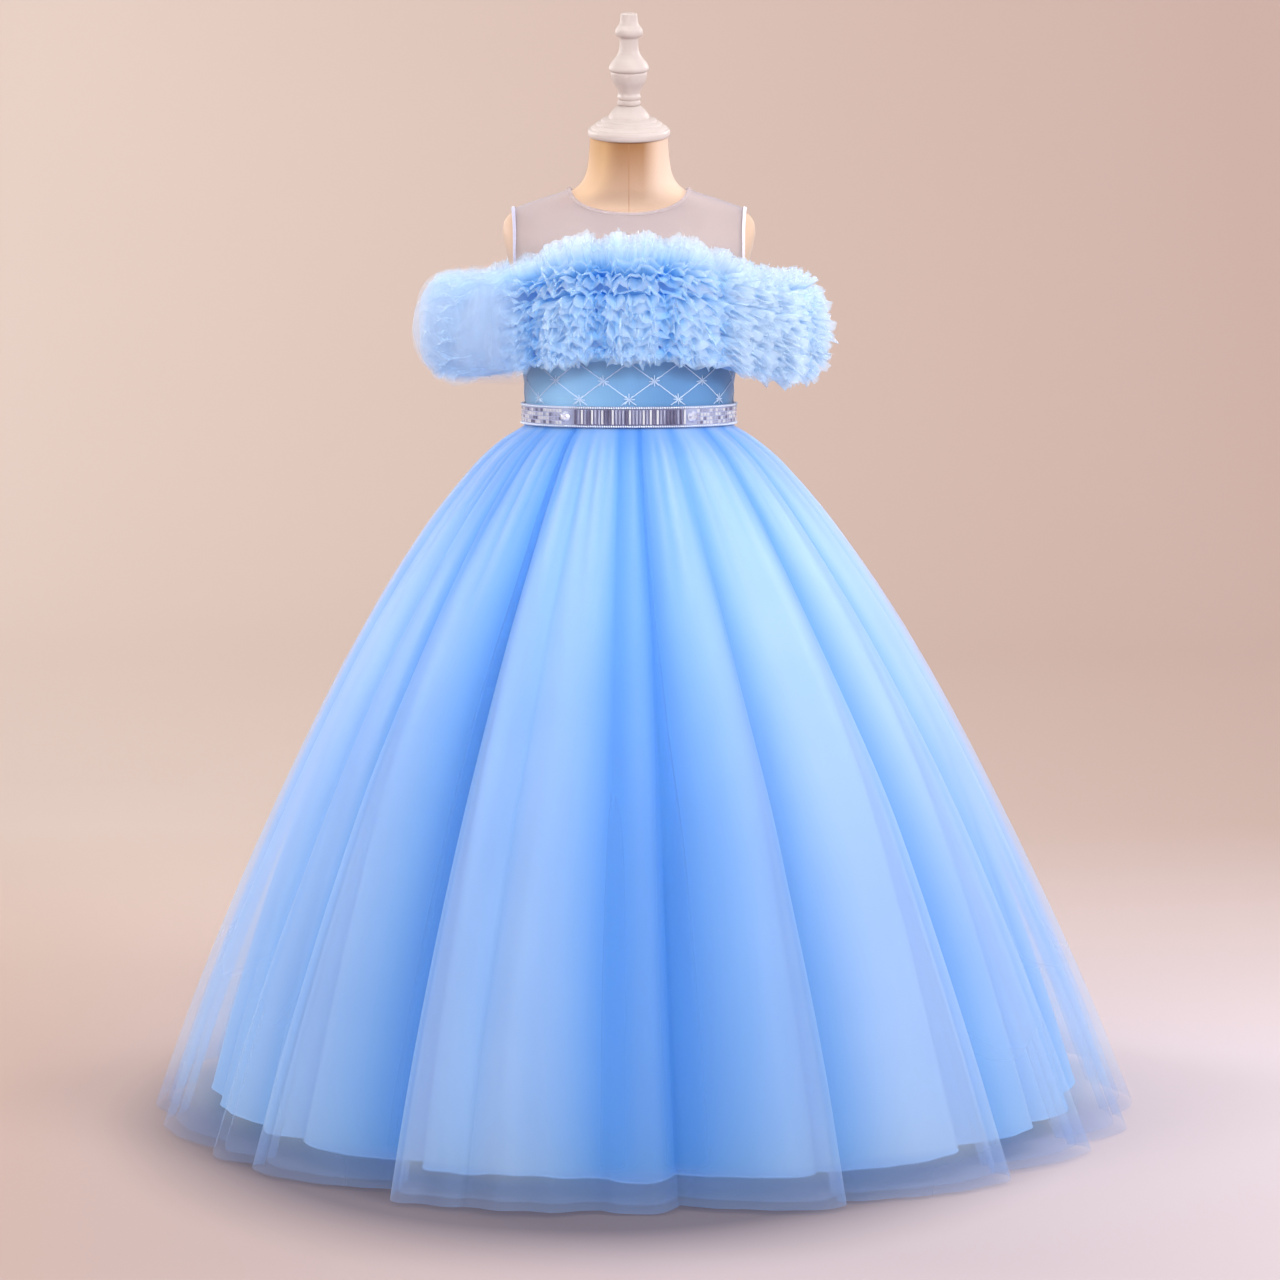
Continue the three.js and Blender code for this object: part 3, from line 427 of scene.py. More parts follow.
def tube_part(line, radius, sides=6, squash=None, tone=0.5):
    """A closed-ended tube along a line; squash gives normals along which it is flattened to a half."""
    line = np.asarray(line, float)
    ahead = unit(np.gradient(line, axis=0))
    up = unit(squash) if squash is not None else np.tile([0.0, 0.0, 1.0], (len(line), 1))
    side = unit(np.cross(ahead, up))
    up = np.cross(side, ahead)
    flat = 0.5 if squash is not None else 1.0
    turn = np.linspace(0, 2 * np.pi, sides, endpoint=False)[None, :, None]
    ring = line[:, None] + radius * (np.cos(turn) * side[:, None] + flat * np.sin(turn) * up[:, None])
    first, last = np.repeat(line[:1, None], sides, axis=1), np.repeat(line[-1:, None], sides, axis=1)
    return sheet_part(np.concatenate([first, ring, last]), tone, True)


def rounded(profile, steps=3, pull=0.22):
    """A turned profile with its inner corners rounded by short curves."""
    points = [np.array(p, float) for p in profile]
    out = [points[0]]
    for a, b, c in zip(points, points[1:], points[2:]):
        reach = min(np.linalg.norm(b - a), np.linalg.norm(c - b)) * pull
        start, end = b + unit(a - b) * reach, b + unit(c - b) * reach
        out += [(1 - t) ** 2 * start + 2 * t * (1 - t) * b + t * t * end for t in np.linspace(0, 1, steps)]
    return np.array(out + [points[-1]])


# ------------------------------------------------------------------ materials
class Look:
    """A node material, built a node at a time."""

    def __init__(self, name):
        self.material = bpy.data.materials.new(name)
        self.material.use_nodes = True
        self.tree = self.material.node_tree
        self.tree.nodes.clear()
        self.out = self.tree.nodes.new("ShaderNodeOutputMaterial")

    def feed(self, sockets, values):
        """Gives each socket its value, or a link where the value is another node's output."""
        for socket, value in zip(sockets, values):
            if isinstance(value, bpy.types.NodeSocket):
                self.tree.links.new(value, socket)
            else:
                socket.default_value = value

    def node(self, kind, **values):
        """A node with its inputs by name, with _ for a space."""
        node = self.tree.nodes.new("ShaderNode" + kind)
        for key, value in values.items():
            if key in ("attribute_name", "bands_direction"):
                setattr(node, key, value)
            else:
                title = key.replace("_", " ").lower()
                self.feed([next(s for s in node.inputs if s.name.lower() == title)], [value])
        return node

    def math(self, operation, a, b=0.5):
        node = self.tree.nodes.new("ShaderNodeMath")
        node.operation = operation
        self.feed(node.inputs, (a, b))
        return node.outputs[0]

    def times(self, a, b):
        return self.math("MULTIPLY", a, b)

    def blend(self, share, a, b):
        node = self.tree.nodes.new("ShaderNodeMix")
        node.data_type = "RGBA"
        self.feed((node.inputs[0], node.inputs[6], node.inputs[7]), (share, a, b))
        return node.outputs[2]

    def blend_shaders(self, share, a, b):
        node = self.tree.nodes.new("ShaderNodeMixShader")
        self.feed(node.inputs, (share, a, b))
        return node.outputs[0]

    def ramp(self, share, stops):
        node = self.tree.nodes.new("ShaderNodeValToRGB")
        self.tree.links.new(share, node.inputs[0])
        elements = node.color_ramp.elements
        while len(elements) < len(stops):
            elements.new(0.5)
        for element, (place, colour) in zip(elements, stops):
            element.position, element.color = place, linear(*colour)
        return node.outputs[0]

    def tone(self, name="tone"):
        return self.node("Attribute", attribute_name=name).outputs["Fac"]

    def place(self, axis, start, end):
        """0 to 1 along one axis of the object's own metres."""
        at = self.node("SeparateXYZ", Vector=self.node("TexCoord").outputs["Object"]).outputs[axis]
        return self.node("MapRange", Value=at, From_Min=start, From_Max=end).outputs[0]

    def noise(self, scale, detail=2.0, rough=0.5, stretch=None):
        at = self.node("TexCoord").outputs["Object"]
        if stretch:
            at = self.node("Mapping", Vector=at, Scale=stretch).outputs[0]
        return self.node("TexNoise", Vector=at, Scale=scale, Detail=detail, Roughness=rough).outputs[0]

    def weave(self, pitch):
        """Threads both ways across the cloth, pitch in metres."""
        uv = self.node("TexCoord").outputs["UV"]
        threads = [self.node("TexWave", Vector=uv, Scale=1 / pitch / 20, Distortion=0.6, Detail=1.0,
                             bands_direction=way).outputs[1] for way in ("X", "Y")]
        return self.math("ADD", *threads)

    def bump(self, height, strength, distance, **normal):
        return self.node("Bump", Strength=strength, Distance=distance, Height=height, **normal).outputs[0]

    def surface(self, colour, roughness, **values):
        return self.node("BsdfPrincipled", Base_Color=colour, Roughness=roughness, **values).outputs[0]

    def finish(self, shader):
        self.tree.links.new(shader, self.out.inputs[0])
        return self.material


DARKEST_CURVED = 10 / 255


def linear(red, green, blue):
    """A screen colour, 0 to 255, in the linear values and alpha that nodes take."""
    shares = (c / 255 for c in (red, green, blue))
    return (*(((c + 0.055) / 1.055) ** 2.4 if c > DARKEST_CURVED else c / 12.92 for c in shares), 1)


def satin(name, low, high, rough=0.42, sheen=0.25):
    look = Look(name)
    colour = look.blend(look.tone(), linear(*low), linear(*high))
    darker = linear(*[0.86 * c for c in low])
    colour = look.blend(look.times(look.noise(5.0, 3.0), 0.35), colour, darker)
    threads = look.bump(look.weave(0.0006), 0.18, 0.0002)
    normal = look.bump(look.noise(26, 3.0, 0.55), 0.25, 0.003, Normal=threads)
    return look.finish(look.surface(colour, rough, Normal=normal, Sheen_Weight=sheen, Sheen_Roughness=0.4))


def jersey(name):
    """The form's cover: tan, with painted shade in the middle of the neck, paler low down, and a painted
    highlight band towards +X on the neck.
    """
    look = Look(name)
    colour = look.blend(look.tone(), linear(148, 100, 58), linear(200, 157, 110))
    colour = look.blend(look.times(look.place(2, 0.965, 0.905), 0.5), colour, linear(226, 200, 182))
    # Painted highlight: a pale band on the +X side of the neck.
    pale = look.times(look.place(0, 0.014, 0.03), look.place(2, 0.9, 0.93))
    colour = look.blend(look.times(pale, 0.8), colour, linear(220, 192, 176))
    normal = look.bump(look.weave(0.0009), 0.15, 0.0002)
    return look.finish(look.surface(colour, 0.7, Normal=normal, Sheen_Weight=0.3, Sheen_Roughness=0.4))


PLEAT_LIGHT = (0.04, 0.36, 1.0, 1.0)


def sheer(name, stops, clear, glow=0.45, sheen=0.35, tone_gain=0.0, hem=None, low=0.18, lift=0.0):
    """Thin cloth that lets light and sight through.

    clear is the share that is see-through all over, glow the share of light that comes through from behind,
    and lift the strength of a faint blue glow the cloth gives off, painted light that stands in for the light
    passing from pleat to pleat more often than the render follows it.
    """
    look = Look(name)
    colour = look.ramp(look.tone(), stops)
    colour = look.blend(look.times(look.noise(9, 2.0), low), colour, linear(*stops[0][1]))
    # Painted shade: the lowest few centimetres take the hem colour, for the shade seen through the tulle below
    # the lining's hem.
    if hem:
        colour = look.blend(look.times(look.place(2, 0.042, 0.026), 0.75), colour, linear(*hem))
    net = look.bump(look.noise(900, 1.0), 0.25, 0.0004)
    front = look.surface(colour, 0.75, Normal=net, Specular_IOR_Level=0.2, Sheen_Weight=sheen,
                         Sheen_Roughness=0.35, Emission_Color=PLEAT_LIGHT, Emission_Strength=lift)
    through = look.node("BsdfTranslucent", Color=colour, Normal=net).outputs[0]
    cloth = look.blend_shaders(glow, front, through)
    dense = 1 - clear
    if tone_gain:
        # Denser near the sewn edge than at the free edge, and thinned further where the mesh says so.
        dense = look.math("SUBTRACT", dense, look.times(look.tone(), tone_gain))
        dense = look.times(dense, look.math("SUBTRACT", 1.0, look.tone("fade")))
    return look.finish(look.blend_shaders(dense, look.node("BsdfTransparent").outputs[0], cloth))


def plain(name, low, high, rough, scale=20, metal=0.0, coat=0.0, stretch=None):
    look = Look(name)
    colour = look.blend(look.noise(scale, 4.0, 0.6, stretch), linear(*low), linear(*high))
    normal = look.bump(look.noise(scale * 9, 3.0, 0.6, stretch), 0.15, 0.0006)
    return look.finish(look.surface(colour, rough, Normal=normal, Metallic=metal, Coat_Weight=coat))


def gem(name, stops):
    """Cut stones, each facet with a painted reflection of its own, from dark to a white glint."""
    look = Look(name)
    colour = look.ramp(look.tone(), stops)
    colour = look.blend(look.times(look.noise(240, 2.0), 0.3), colour, linear(214, 206, 236))
    normal = look.bump(look.noise(500, 1.0), 0.05, 0.0002)
    return look.finish(look.surface(colour, 0.12, Normal=normal, Metallic=0.35, Coat_Weight=0.6))


LOOKS = {
    "jersey": jersey("form_jersey"),
    "seam": plain("form_seam", (160, 112, 76), (176, 126, 90), 0.9, 60),
    "wood": plain("painted_wood", (192, 178, 174), (210, 197, 193), 0.5, 9, coat=0.05, stretch=(1, 1, 0.15)),
    "bodice": satin("bodice_satin", (90, 142, 194), (158, 210, 250), 0.42, 0.3),
    "lining": satin("lining_satin", (92, 164, 240), (154, 202, 252), 0.45, 0.3),
    "band": satin("band_satin", (146, 196, 250), (178, 216, 255), 0.6, 0.2),
    # The skirt tulle's hem colour is painted shade at the foot of the skirt.
    "tulle": sheer("skirt_tulle", [(0, (94, 174, 248)), (0.5, (164, 210, 252)), (1, (222, 238, 255))], 0.62,
                   sheen=0.8, tone_gain=0.04, hem=(162, 192, 246)),
    "ruffle": sheer("pleated_tulle", [(0, (118, 198, 255)), (0.35, (178, 224, 255)), (1, (236, 247, 255))],
                    0.1, 0.5, 0.4, tone_gain=0.22, low=0.05, lift=0.135),
    "brushed": sheer("brushed_tulle", [(0, (180, 222, 255)), (1, (238, 246, 255))],
                     0.58, 0.5, 0.5, tone_gain=0.08, low=0.0, lift=0.09),
    "mesh": sheer("illusion_mesh", [(0, (190, 188, 206)), (1, (204, 200, 212))], 0.52, 0.25, 0.2),
    "edge": sheer("mesh_edge", [(0, (206, 196, 204)), (1, (222, 210, 216))], 0.82, 0.3, 0.2),
    "binding": satin("pale_binding", (190, 188, 216), (228, 222, 234), 0.5, 0.3),
    "thread": plain("pale_thread", (176, 208, 244), (226, 238, 255), 0.5, 300),
    "belt": satin("belt_satin", (96, 92, 128), (176, 186, 220), 0.4, 0.4),
    "bead": plain("belt_beads", (206, 216, 240), (240, 244, 252), 0.25, 200, metal=0.15, coat=0.5),
    "crystal": gem("cut_crystal", [(0, (34, 28, 54)), (0.35, (96, 92, 126)), (0.65, (180, 184, 212)),
                                   (1, (255, 255, 255))]),
    "tape": satin("zip_tape", (118, 164, 226), (138, 180, 238), 0.6, 0.2),
    "enamel": plain("zip_enamel", (150, 178, 222), (172, 196, 234), 0.3, 80, metal=0.4, coat=0.4),
}


# ------------------------------------------------------------------ dress form
def neck_lean(points):
    """The rings near the top of the neck lean forward with it."""
    z = points[..., 2]
    share = smooth((z - NECK_TILT_FROM_Z) / (TORSO["z"][-1] - NECK_TILT_FROM_Z))
    lean = (points[..., 1] - section("y_centre", z)) * math.tan(NECK_TILT) * share
    return points + stack(0, 0, lean)


def make_form():
    azimuth = np.linspace(-180, 180, 144, endpoint=False)
    heights = np.concatenate([np.linspace(TORSO["z"][0], 780, 34), np.linspace(784, TORSO["z"][-1], 96)])
    grid = neck_lean(torso_point(azimuth[None], heights[:, None], -FORM_INSET))
    # Painted light on the jersey: a painted highlight at the sides of the neck and painted shade a little to
    # the right of its middle.
    ahead = np.cos(np.radians(azimuth - 4))
    tone = 1 - 0.95 * smooth((ahead - 0.72) / 0.26)[None]
    tone = mix(0.45, tone, smooth((heights - 896) / 24)[:, None])
    tone = np.concatenate([tone[:1], tone, tone[-1:]])
    skin = sheet_part(np.concatenate([drawn_in(grid[:1]), grid, drawn_in(grid[-1:])]), tone, True)
    build("form_torso_skin", [skin], LOOKS["jersey"], "form_torso", sharp=60)

    seams = []
    for azimuth, start in ((0, 900), (-90, 892), (90, 892), (180, 900)):
        z = np.linspace(start, 974, 40)
        line = torso_point(np.full_like(z, azimuth), z, -FORM_INSET)
        seams.append(tube_part(neck_lean(line), FORM_SEAM_RADIUS, 6, torso_normal(line)))
    build("form_seams", seams, LOOKS["seam"])

    neck = np.array([0.0, TORSO["y_centre"][-1], TORSO["z"][-1]])
    axis = np.array([0.0, -math.sin(NECK_TILT), math.cos(NECK_TILT)])
    back = np.array([0.0, math.cos(NECK_TILT), math.sin(NECK_TILT)])

    def turned(name, profile, up):
        """A turned piece from (radius, height) pairs, up along the neck's leaning axis."""
        turn = np.linspace(0, 2 * np.pi, TURNED_SIDES, endpoint=False)
        radius, z = rounded(profile).T[..., None]
        part = sheet_part(stack(radius * np.cos(turn), radius * np.sin(turn), z), closed=True)
        x, y, z = (part["points"][..., k] for k in range(3))
        part["points"] = neck + stack(x, 0, 0) + y[..., None] * back + (z + up)[..., None] * axis
        build(name + "_turned", [part], LOOKS["wood"], name, sharp=32)

    cap = [(0, 0), (39.5, 0), (40.8, 1), (41.3, 3), (41, 6), (39.8, 8), (38.2, 8.2), (38, 9.6),
           (34.2, 11.8), (33.2, 11.9), (33, 13.5), (29.2, 15.4), (28, 15.5), (27.8, 17.2), (23.4, 18.7),
           (20.4, 19), (20.2, 20.8), (19, 22.8), (17.6, 25), (15.5, 27.2), (13, 29.4), (11, 31.5), (0, 31.5)]
    finial = [(0, 0), (11, 0), (11.6, 1.2), (11.6, 3.4), (10.9, 4.6), (10.2, 5.1), (10.9, 5.8), (11.7, 7),
              (11.7, 9), (10.9, 10.6), (10.8, 12.2), (12, 15.4), (13.6, 18.6), (15.6, 21.6), (17, 24.6),
              (17.9, 28), (18.2, 31.2), (17.9, 32.6), (17.4, 33.2), (19, 34), (19.8, 35), (20.1, 36.4),
              (19.7, 38.4), (18.1, 41.4), (16, 44.4), (13.4, 47.4), (11.2, 50.6), (10, 54), (9.4, 58),
              (9.3, 65.5), (9.8, 67.2), (12.4, 68.4), (13.6, 70.4), (13.8, 72.6), (13.3, 75.2),
              (11.6, 77.4), (9.9, 79.6), (9, 83), (8.5, 87.4), (8.3, 90), (7.6, 90.7), (3.4, 90.7),
              (2.6, 89.6), (2.4, 84), (0, 84)]
    turned("form_cap", cap, SEAM_GAP)
    turned("form_finial", finial, cap[-1][1] + 2 * SEAM_GAP)
    repaint(("form_base", "form_pole"), LOOKS["wood"])


def repaint(names, material):
    """Gives solids that show as they are a finished material."""
    for name in names:
        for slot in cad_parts[name].material_slots:
            slot.material = material


# ------------------------------------------------------------------ bodice and yoke
def make_bodice():
    v = np.linspace(0, 1, 44)[:, None]

    def panel(name, azimuth):
        z = mix(WAIST_Z + SEAM_GAP, bodice_top(azimuth) - SEAM_GAP, v)
        grid = torso_point(azimuth, z)
        normals = torso_normal(grid)
        # Slack lines that run across the panel, deepest near the side seams.
        near_seam = np.clip(1 - np.abs(np.abs(azimuth) - 90) / 60, 0, 1)
        slack = 0.35 * near_seam * np.sin(z / 5.2 + azimuth / 9) * np.sin(np.pi * v)
        inner, outer = grid + normals * BODICE_IN, grid + normals * (BODICE_OUT + slack[..., None])
        # Painted light: the satin is paler on the -X front and +X back and darker on the +X front and -X back,
        # with faint slanting bands of painted fold shade.
        turned = np.radians(azimuth)
        tone = 0.36 - 0.9 * np.sin(turned) * np.cos(turned) + 0.1 * np.sin(z / 17 + azimuth / 23)
        parts = shell_parts(inner, outer, tone)
        obj = build(name + "_cloth", parts, LOOKS["bodice"], name, sharp=70)
        declare([outer])

    front, start = 90 - SIDE_SEAM, 90 + SIDE_SEAM
    panel("bodice_front", np.linspace(-front, front, 150)[None])
    end = 180 - float(azimuth_of(BACK_OPENING, 780.0))
    back = np.linspace(start, end, 76)[None]
    panel("bodice_back_right", back)
    panel("bodice_back_left", -back[:, ::-1])


def make_yoke():
    inside = NECK_HALF_WIDTH / ARMHOLE_TOP_X
    shares = np.concatenate([inside * np.sin(np.linspace(0, np.pi / 2, 26)), np.linspace(inside, 1, 26)[1:]])
    w = np.concatenate([np.linspace(0.002, 0.3, 18), np.linspace(0.3, 1, 22)[1:]])[::-1]

    def panel(name, side, columns):
        rows = side * w[:, None]
        columns = (columns if side < 0 else columns[::-1])[None]
        grid = yoke_point(columns * armhole_x(rows), rows)
        slack = 0.3 * np.sin(grid[..., 0] / 7 + grid[..., 2] / 15) * np.sin(np.pi * np.abs(rows))
        points = grid + torso_normal(grid) * (YOKE_OUT + slack)[..., None]
        part = sheet_part(points, np.abs(rows) * np.ones_like(columns))
        obj = build(name + "_mesh", [part], LOOKS["mesh"], name)
        declare([points])

    full = np.concatenate([-shares[:0:-1], shares])
    panel("yoke_front", -1, full)
    back = np.concatenate([[BACK_OPENING / ARMHOLE_TOP_X], shares[2:]])
    panel("yoke_back_right", 1, back)
    panel("yoke_back_left", 1, -back[::-1])


def resample(points, count):
    length = lengths_along(points)
    at = np.linspace(0, length[-1], count)
    return np.stack([np.interp(at, length, points[:, k]) for k in range(3)], axis=-1)


def make_bindings():
    turn = np.linspace(-np.pi / 2, np.pi / 2, 120)
    start = math.asin(BACK_OPENING / NECK_HALF_WIDTH)
    front = yoke_point(NECK_HALF_WIDTH * np.sin(turn), np.full_like(turn, -0.002))
    back = np.linspace(np.pi / 2, start, 60)[1:]
    right = yoke_point(NECK_HALF_WIDTH * np.sin(back), np.full_like(back, 0.002))
    left = (right * [-1, 1, 1])[::-1]
    edges = [("neck_binding", np.concatenate([left, front, right]), -1, 220, "edge")]
    w = np.linspace(-1, 1, 160)
    for side, name in ((-1, "armhole_binding_left"), (1, "armhole_binding_right")):
        edges.append((name, yoke_point(side * armhole_x(w), np.where(w == 0, 1e-4, w)), side, 110, "binding"))
    for name, points, inward, count, look in edges:
        line = resample(points, count)
        normals = torso_normal(line)
        across = unit(np.cross(normals, unit(np.gradient(line, axis=0)))) * inward
        # A folded strip: rounded across its width, with tiny waves where it is sewn.
        spread = np.linspace(0, 1, 9)[:, None, None]
        wave = 0.12 * np.sin(np.arange(count) * 1.9)[None, :, None]
        strip = line[None] + across[None] * (0.2 + BINDING_WIDE * spread)
        top = strip + normals[None] * (BINDING_OUT + 0.2 + 0.9 * np.sin(np.pi * spread) ** 0.5 + wave)
        low = strip + normals[None] * (BINDING_OUT + 0 * spread)
        # Painted highlight: the bindings are paler towards +X, where the light falls.
        tone = smooth(0.5 + line[None, :, 0] / 160) * np.ones((9, 1))
        parts = shell_parts(low[::inward], top[::inward], tone)
        obj = build(name + "_satin", parts, LOOKS[look], name, sharp=60)
        declare([top])


# ------------------------------------------------------------------ trellis stitched on the bodice
DIAMOND_WIDE, DIAMOND_HALF_HIGH, STAR_Z = 49.0, 18.5, 736.0
TRELLIS_LOW, TRELLIS_TOP, TRELLIS_LEVEL = 712.0, 800.0, 735.0
THREAD_RADIUS, THREAD_OUT, STAR_OUT, STAR_RAYS = 0.5, 2.9, 3.2, 8
# How far the threads and the stars stay away from the back opening.
THREAD_CLEAR, STAR_CLEAR = 4.2, 12


def round_torso(distance, level, off, steps):
    """Azimuth at a distance round the torso from the front middle, and half the way round it."""
    azimuth = np.linspace(-180, 180, steps)
    length = lengths_along(torso_point(azimuth, np.full_like(azimuth, level), off))
    length -= np.interp(0, azimuth, length)
    return np.interp(distance, length, azimuth), length[-1]


def bodice_place(distance, z, off=THREAD_OUT):
    """Point on the bodice at a distance from the front middle, its normal, and half the way round."""
    azimuth, half_round = round_torso(distance, TRELLIS_LEVEL, 0.0, 1441)
    points = torso_point(azimuth, z)
    normals = torso_normal(points)
    return points + normals * off, normals, half_round


def make_trellis():
    half_round = bodice_place(0.0, np.array(TRELLIS_LEVEL))[2]
    count = int(round(2 * half_round / DIAMOND_WIDE))
    wide = 2 * half_round / count
    slope = DIAMOND_HALF_HIGH / (wide / 2)
    threads, stars = [], []
    draw = np.random.default_rng(5)
    for k in range(-count, 2 * count):
        for way in (-1, 1):
            z = np.linspace(TRELLIS_LOW, TRELLIS_TOP, 46)
            distance = (k + 0.5) * wide + way * (z - STAR_Z) / slope
            inside = np.abs(distance) < half_round - THREAD_CLEAR
            if inside.sum() < 3:
                continue
            at = distance[inside] + 0.25 * np.sin(z[inside] * 1.3 + k)
            line, normals, _ = bodice_place(at, z[inside])
            threads.append(tube_part(line, THREAD_RADIUS, 6, normals, 0.45))
    for row in range(-1, 4):
        star_z = STAR_Z + row * DIAMOND_HALF_HIGH
        for k in range(-count, count):
            centre = (k + (0.5 if row % 2 == 0 else 0)) * wide
            if abs(centre) > half_round - STAR_CLEAR or star_z > TRELLIS_TOP - 6:
                continue
            for ray in range(STAR_RAYS):
                angle = math.radians(360 / STAR_RAYS * ray + draw.uniform(-9, 9))
                reach = np.linspace(1.2, draw.uniform(4.2, 6.4), 4)
                line, normals, _ = bodice_place(centre + reach * math.cos(angle),
                                                star_z + reach * math.sin(angle), STAR_OUT)
                stars.append(tube_part(line, THREAD_RADIUS, 5, normals, 0.9))
    build("bodice_trellis", threads + stars, LOOKS["thread"])


# ------------------------------------------------------------------ belt
UP = np.array([0.0, 0.0, 1.0])
BELT_IN, BACK_CLEAR, SEAT_OUT = 4.3, 3.6, 0.05
BEAD_RADIUS, BEAD_PITCH, BEAD_OUT, BEAD_FROM_EDGE = 1.12, 2.35, 0.75, 1.3
BAGUETTE_WIDE, BAGUETTE_TALL, BAGUETTE_PITCH = 2.2, 14.2, 3.5
SQUARE, SQUARE_PITCH = 3.1, 3.9


def belt_ring(distance, z, off):
    """Point on the belt at a distance from its front middle, its level normal, and half the way round."""
    azimuth, half_round = round_torso(distance, float(WAIST_Z), BELT_OUT, 2881)
    points = torso_point(azimuth, np.full(np.shape(distance), float(WAIST_Z)))
    normals = unit(torso_normal(points) * [1, 1, 0])
    points = points + normals * off
    points[..., 2] = z
    return points, normals, half_round


def faceted(centre, normal, up, wide, tall, high, tone=0.5):
    """A cut stone: a bevelled slab with a smaller table, flat shaded."""
    side = np.cross(up, normal)
    rings = []
    for share, level in ((1.0, 0.0), (1.0, 0.45), (0.55, 1.0)):
        w, t, n = wide / 2 * share, tall / 2 - wide / 2 * (1 - share), high * level
        rings.append([centre + side * (sx * w) + up * (sy * t) + normal * n
                      for sx, sy in ((-1, -1), (1, -1), (1, 1), (-1, 1))])
    rings = np.array(rings)
    grid = np.concatenate([rings, drawn_in(rings[-1:])])
    return {"points": grid, "quads": quads_of(4, 4, True), "tone": tone}


def make_belt_satin(half):
    distance = np.linspace(-half, half, 420)[None]
    z = np.array([BELT_LOW, 690.4, 692, 700, 708, 709.6, BELT_HIGH])[:, None]
    round_over = np.array([0.7, 0.15, 0, 0, 0, 0.15, 0.7])[:, None]
    at, level = distance * np.ones_like(z), z * np.ones_like(distance)
    outer, normals, _ = belt_ring(at, level, BELT_OUT)
    outer = outer - normals * round_over[..., None]
    inner = belt_ring(at, level, BELT_IN)[0]
    paler = 0.15 + 0.75 * smooth((np.abs(distance) - 50) / 14) * np.ones_like(z)
    parts = shell_parts(inner, outer, paler)
    band = build("belt_satin_band", parts, LOOKS["belt"], "belt_band", sharp=60)
    declare([outer])


def make_beads(half):
    beads = []
    turn = np.linspace(0, 2 * np.pi, 7, endpoint=False)
    tilt = np.linspace(-np.pi / 2, np.pi / 2, 5)[:, None]
    ball = stack(np.cos(tilt) * np.cos(turn), np.cos(tilt) * np.sin(turn), np.sin(tilt))
    at = np.linspace(-half + 1.2, half - 1.2, int(2 * half / BEAD_PITCH))
    for level in (BELT_LOW + BEAD_FROM_EDGE, BELT_HIGH - BEAD_FROM_EDGE):
        for centre in belt_ring(at, level, BELT_OUT + BEAD_OUT)[0]:
            beads.append({"points": centre + BEAD_RADIUS * ball, "quads": quads_of(5, 7, True)})
    build("belt_beads", beads, LOOKS["bead"])


def make_belt():
    half = belt_ring(np.array([0.0]), WAIST_Z, 0)[2] - BACK_CLEAR
    make_belt_satin(half)
    make_beads(half)
    draw = np.random.default_rng(8)

    def tilted(normal, lean, nod):
        lean = draw.uniform(-lean, lean)
        return unit(normal + np.cross(UP, normal) * lean + UP * draw.uniform(-nod, nod))

    # Long stones upright between the two larger ones.
    stones = []
    for at in np.arange(-half + 90, half - 90, BAGUETTE_PITCH):
        if abs(belt_ring(np.array([at]), WAIST_Z, 0)[0][0][0]) > BELT_STONE_X - 6.6:
            continue
        centre, normal, _ = belt_ring(np.array([at]), WAIST_Z, BELT_OUT + SEAT_OUT)
        facing = tilted(normal[0], 0.12, 0.08)
        # Painted glints: each long stone gets a painted brightness of its own, brighter again towards the two
        # large stones.
        painted_glint = draw.choice([0.3, 0.62, 1.0], p=[0.35, 0.3, 0.35]) + 0.2 * smooth((abs(at) - 52) / 12)
        tone = np.clip(painted_glint + draw.uniform(-0.14, 0.14, 16), 0, 1)
        tall = BAGUETTE_TALL + draw.uniform(-0.3, 0.3)
        stones.append(faceted(centre[0], facing, UP, BAGUETTE_WIDE, tall, 1.5, tone))
    # Small square stones in four rows, from the two larger stones round to the back.
    squares = []
    for at in np.arange(-half + 4, half - 4, SQUARE_PITCH):
        centre, normal, _ = belt_ring(np.array([at]), WAIST_Z, BELT_OUT + SEAT_OUT)
        if centre[0][1] < 0 and abs(centre[0][0]) < BELT_STONE_X + 6.5:
            continue
        for row in range(4):
            facing = tilted(normal[0], 0.15, 0.12)
            # Painted glints: one painted brightness for each square stone.
            painted_glint = draw.choice([0.4, 0.68, 0.95], p=[0.2, 0.35, 0.45])
            tone = np.clip(painted_glint + draw.uniform(-0.1, 0.1, 16), 0, 1)
            place = centre[0] + UP * (SQUARE_PITCH * (row - 1.5))
            squares.append(faceted(place, facing, UP, SQUARE, SQUARE, 1.0, tone))
    for name, cut in (("belt_baguettes", stones), ("belt_squares", squares)):
        flat_shaded(build(name, cut, LOOKS["crystal"]))

    for side, name in ((-1, "belt_stone_left"), (1, "belt_stone_right")):
        level = np.array(float(WAIST_Z))
        seat = torso_point(azimuth_of(np.array(side * BELT_STONE_X), level), level)
        normal = unit(torso_normal(seat) * [1, 1, 0])
        base = seat + normal * (BELT_OUT + 0.3)
        across = np.cross(UP, normal)
        rings = []
        for radius, high, twist in ((5.5, 0.0, 0), (5.5, 0.8, 0), (4.3, 2.1, 0.5), (2.9, 3.0, 0)):
            turn = ((np.arange(16) + twist) * 2 * np.pi / 16)[:, None]
            rings.append(base + radius * (np.cos(turn) * across + np.sin(turn) * UP) + normal * high)
        rings = np.array(rings)
        grid = np.concatenate([drawn_in(rings[:1]), rings, drawn_in(rings[-1:])])
        # Painted glints on the facets of the large stones.
        tone = draw.uniform(0.55, 1.0, len(grid) * 16)
        part = {"points": grid, "quads": quads_of(len(grid), 16, True), "tone": tone}
        flat_shaded(build(name + "_cut", [part], LOOKS["crystal"], name))


# ------------------------------------------------------------------ skirt
SKIRT_TOP = {"tulle": 698.6, "lining": 698.2}
LINING_THICK, HEM_ROLL_RADIUS = 0.8, 1.1
INNER_HEM_Z, INNER_INWARD = TULLE_HEM_Z + 5, 11


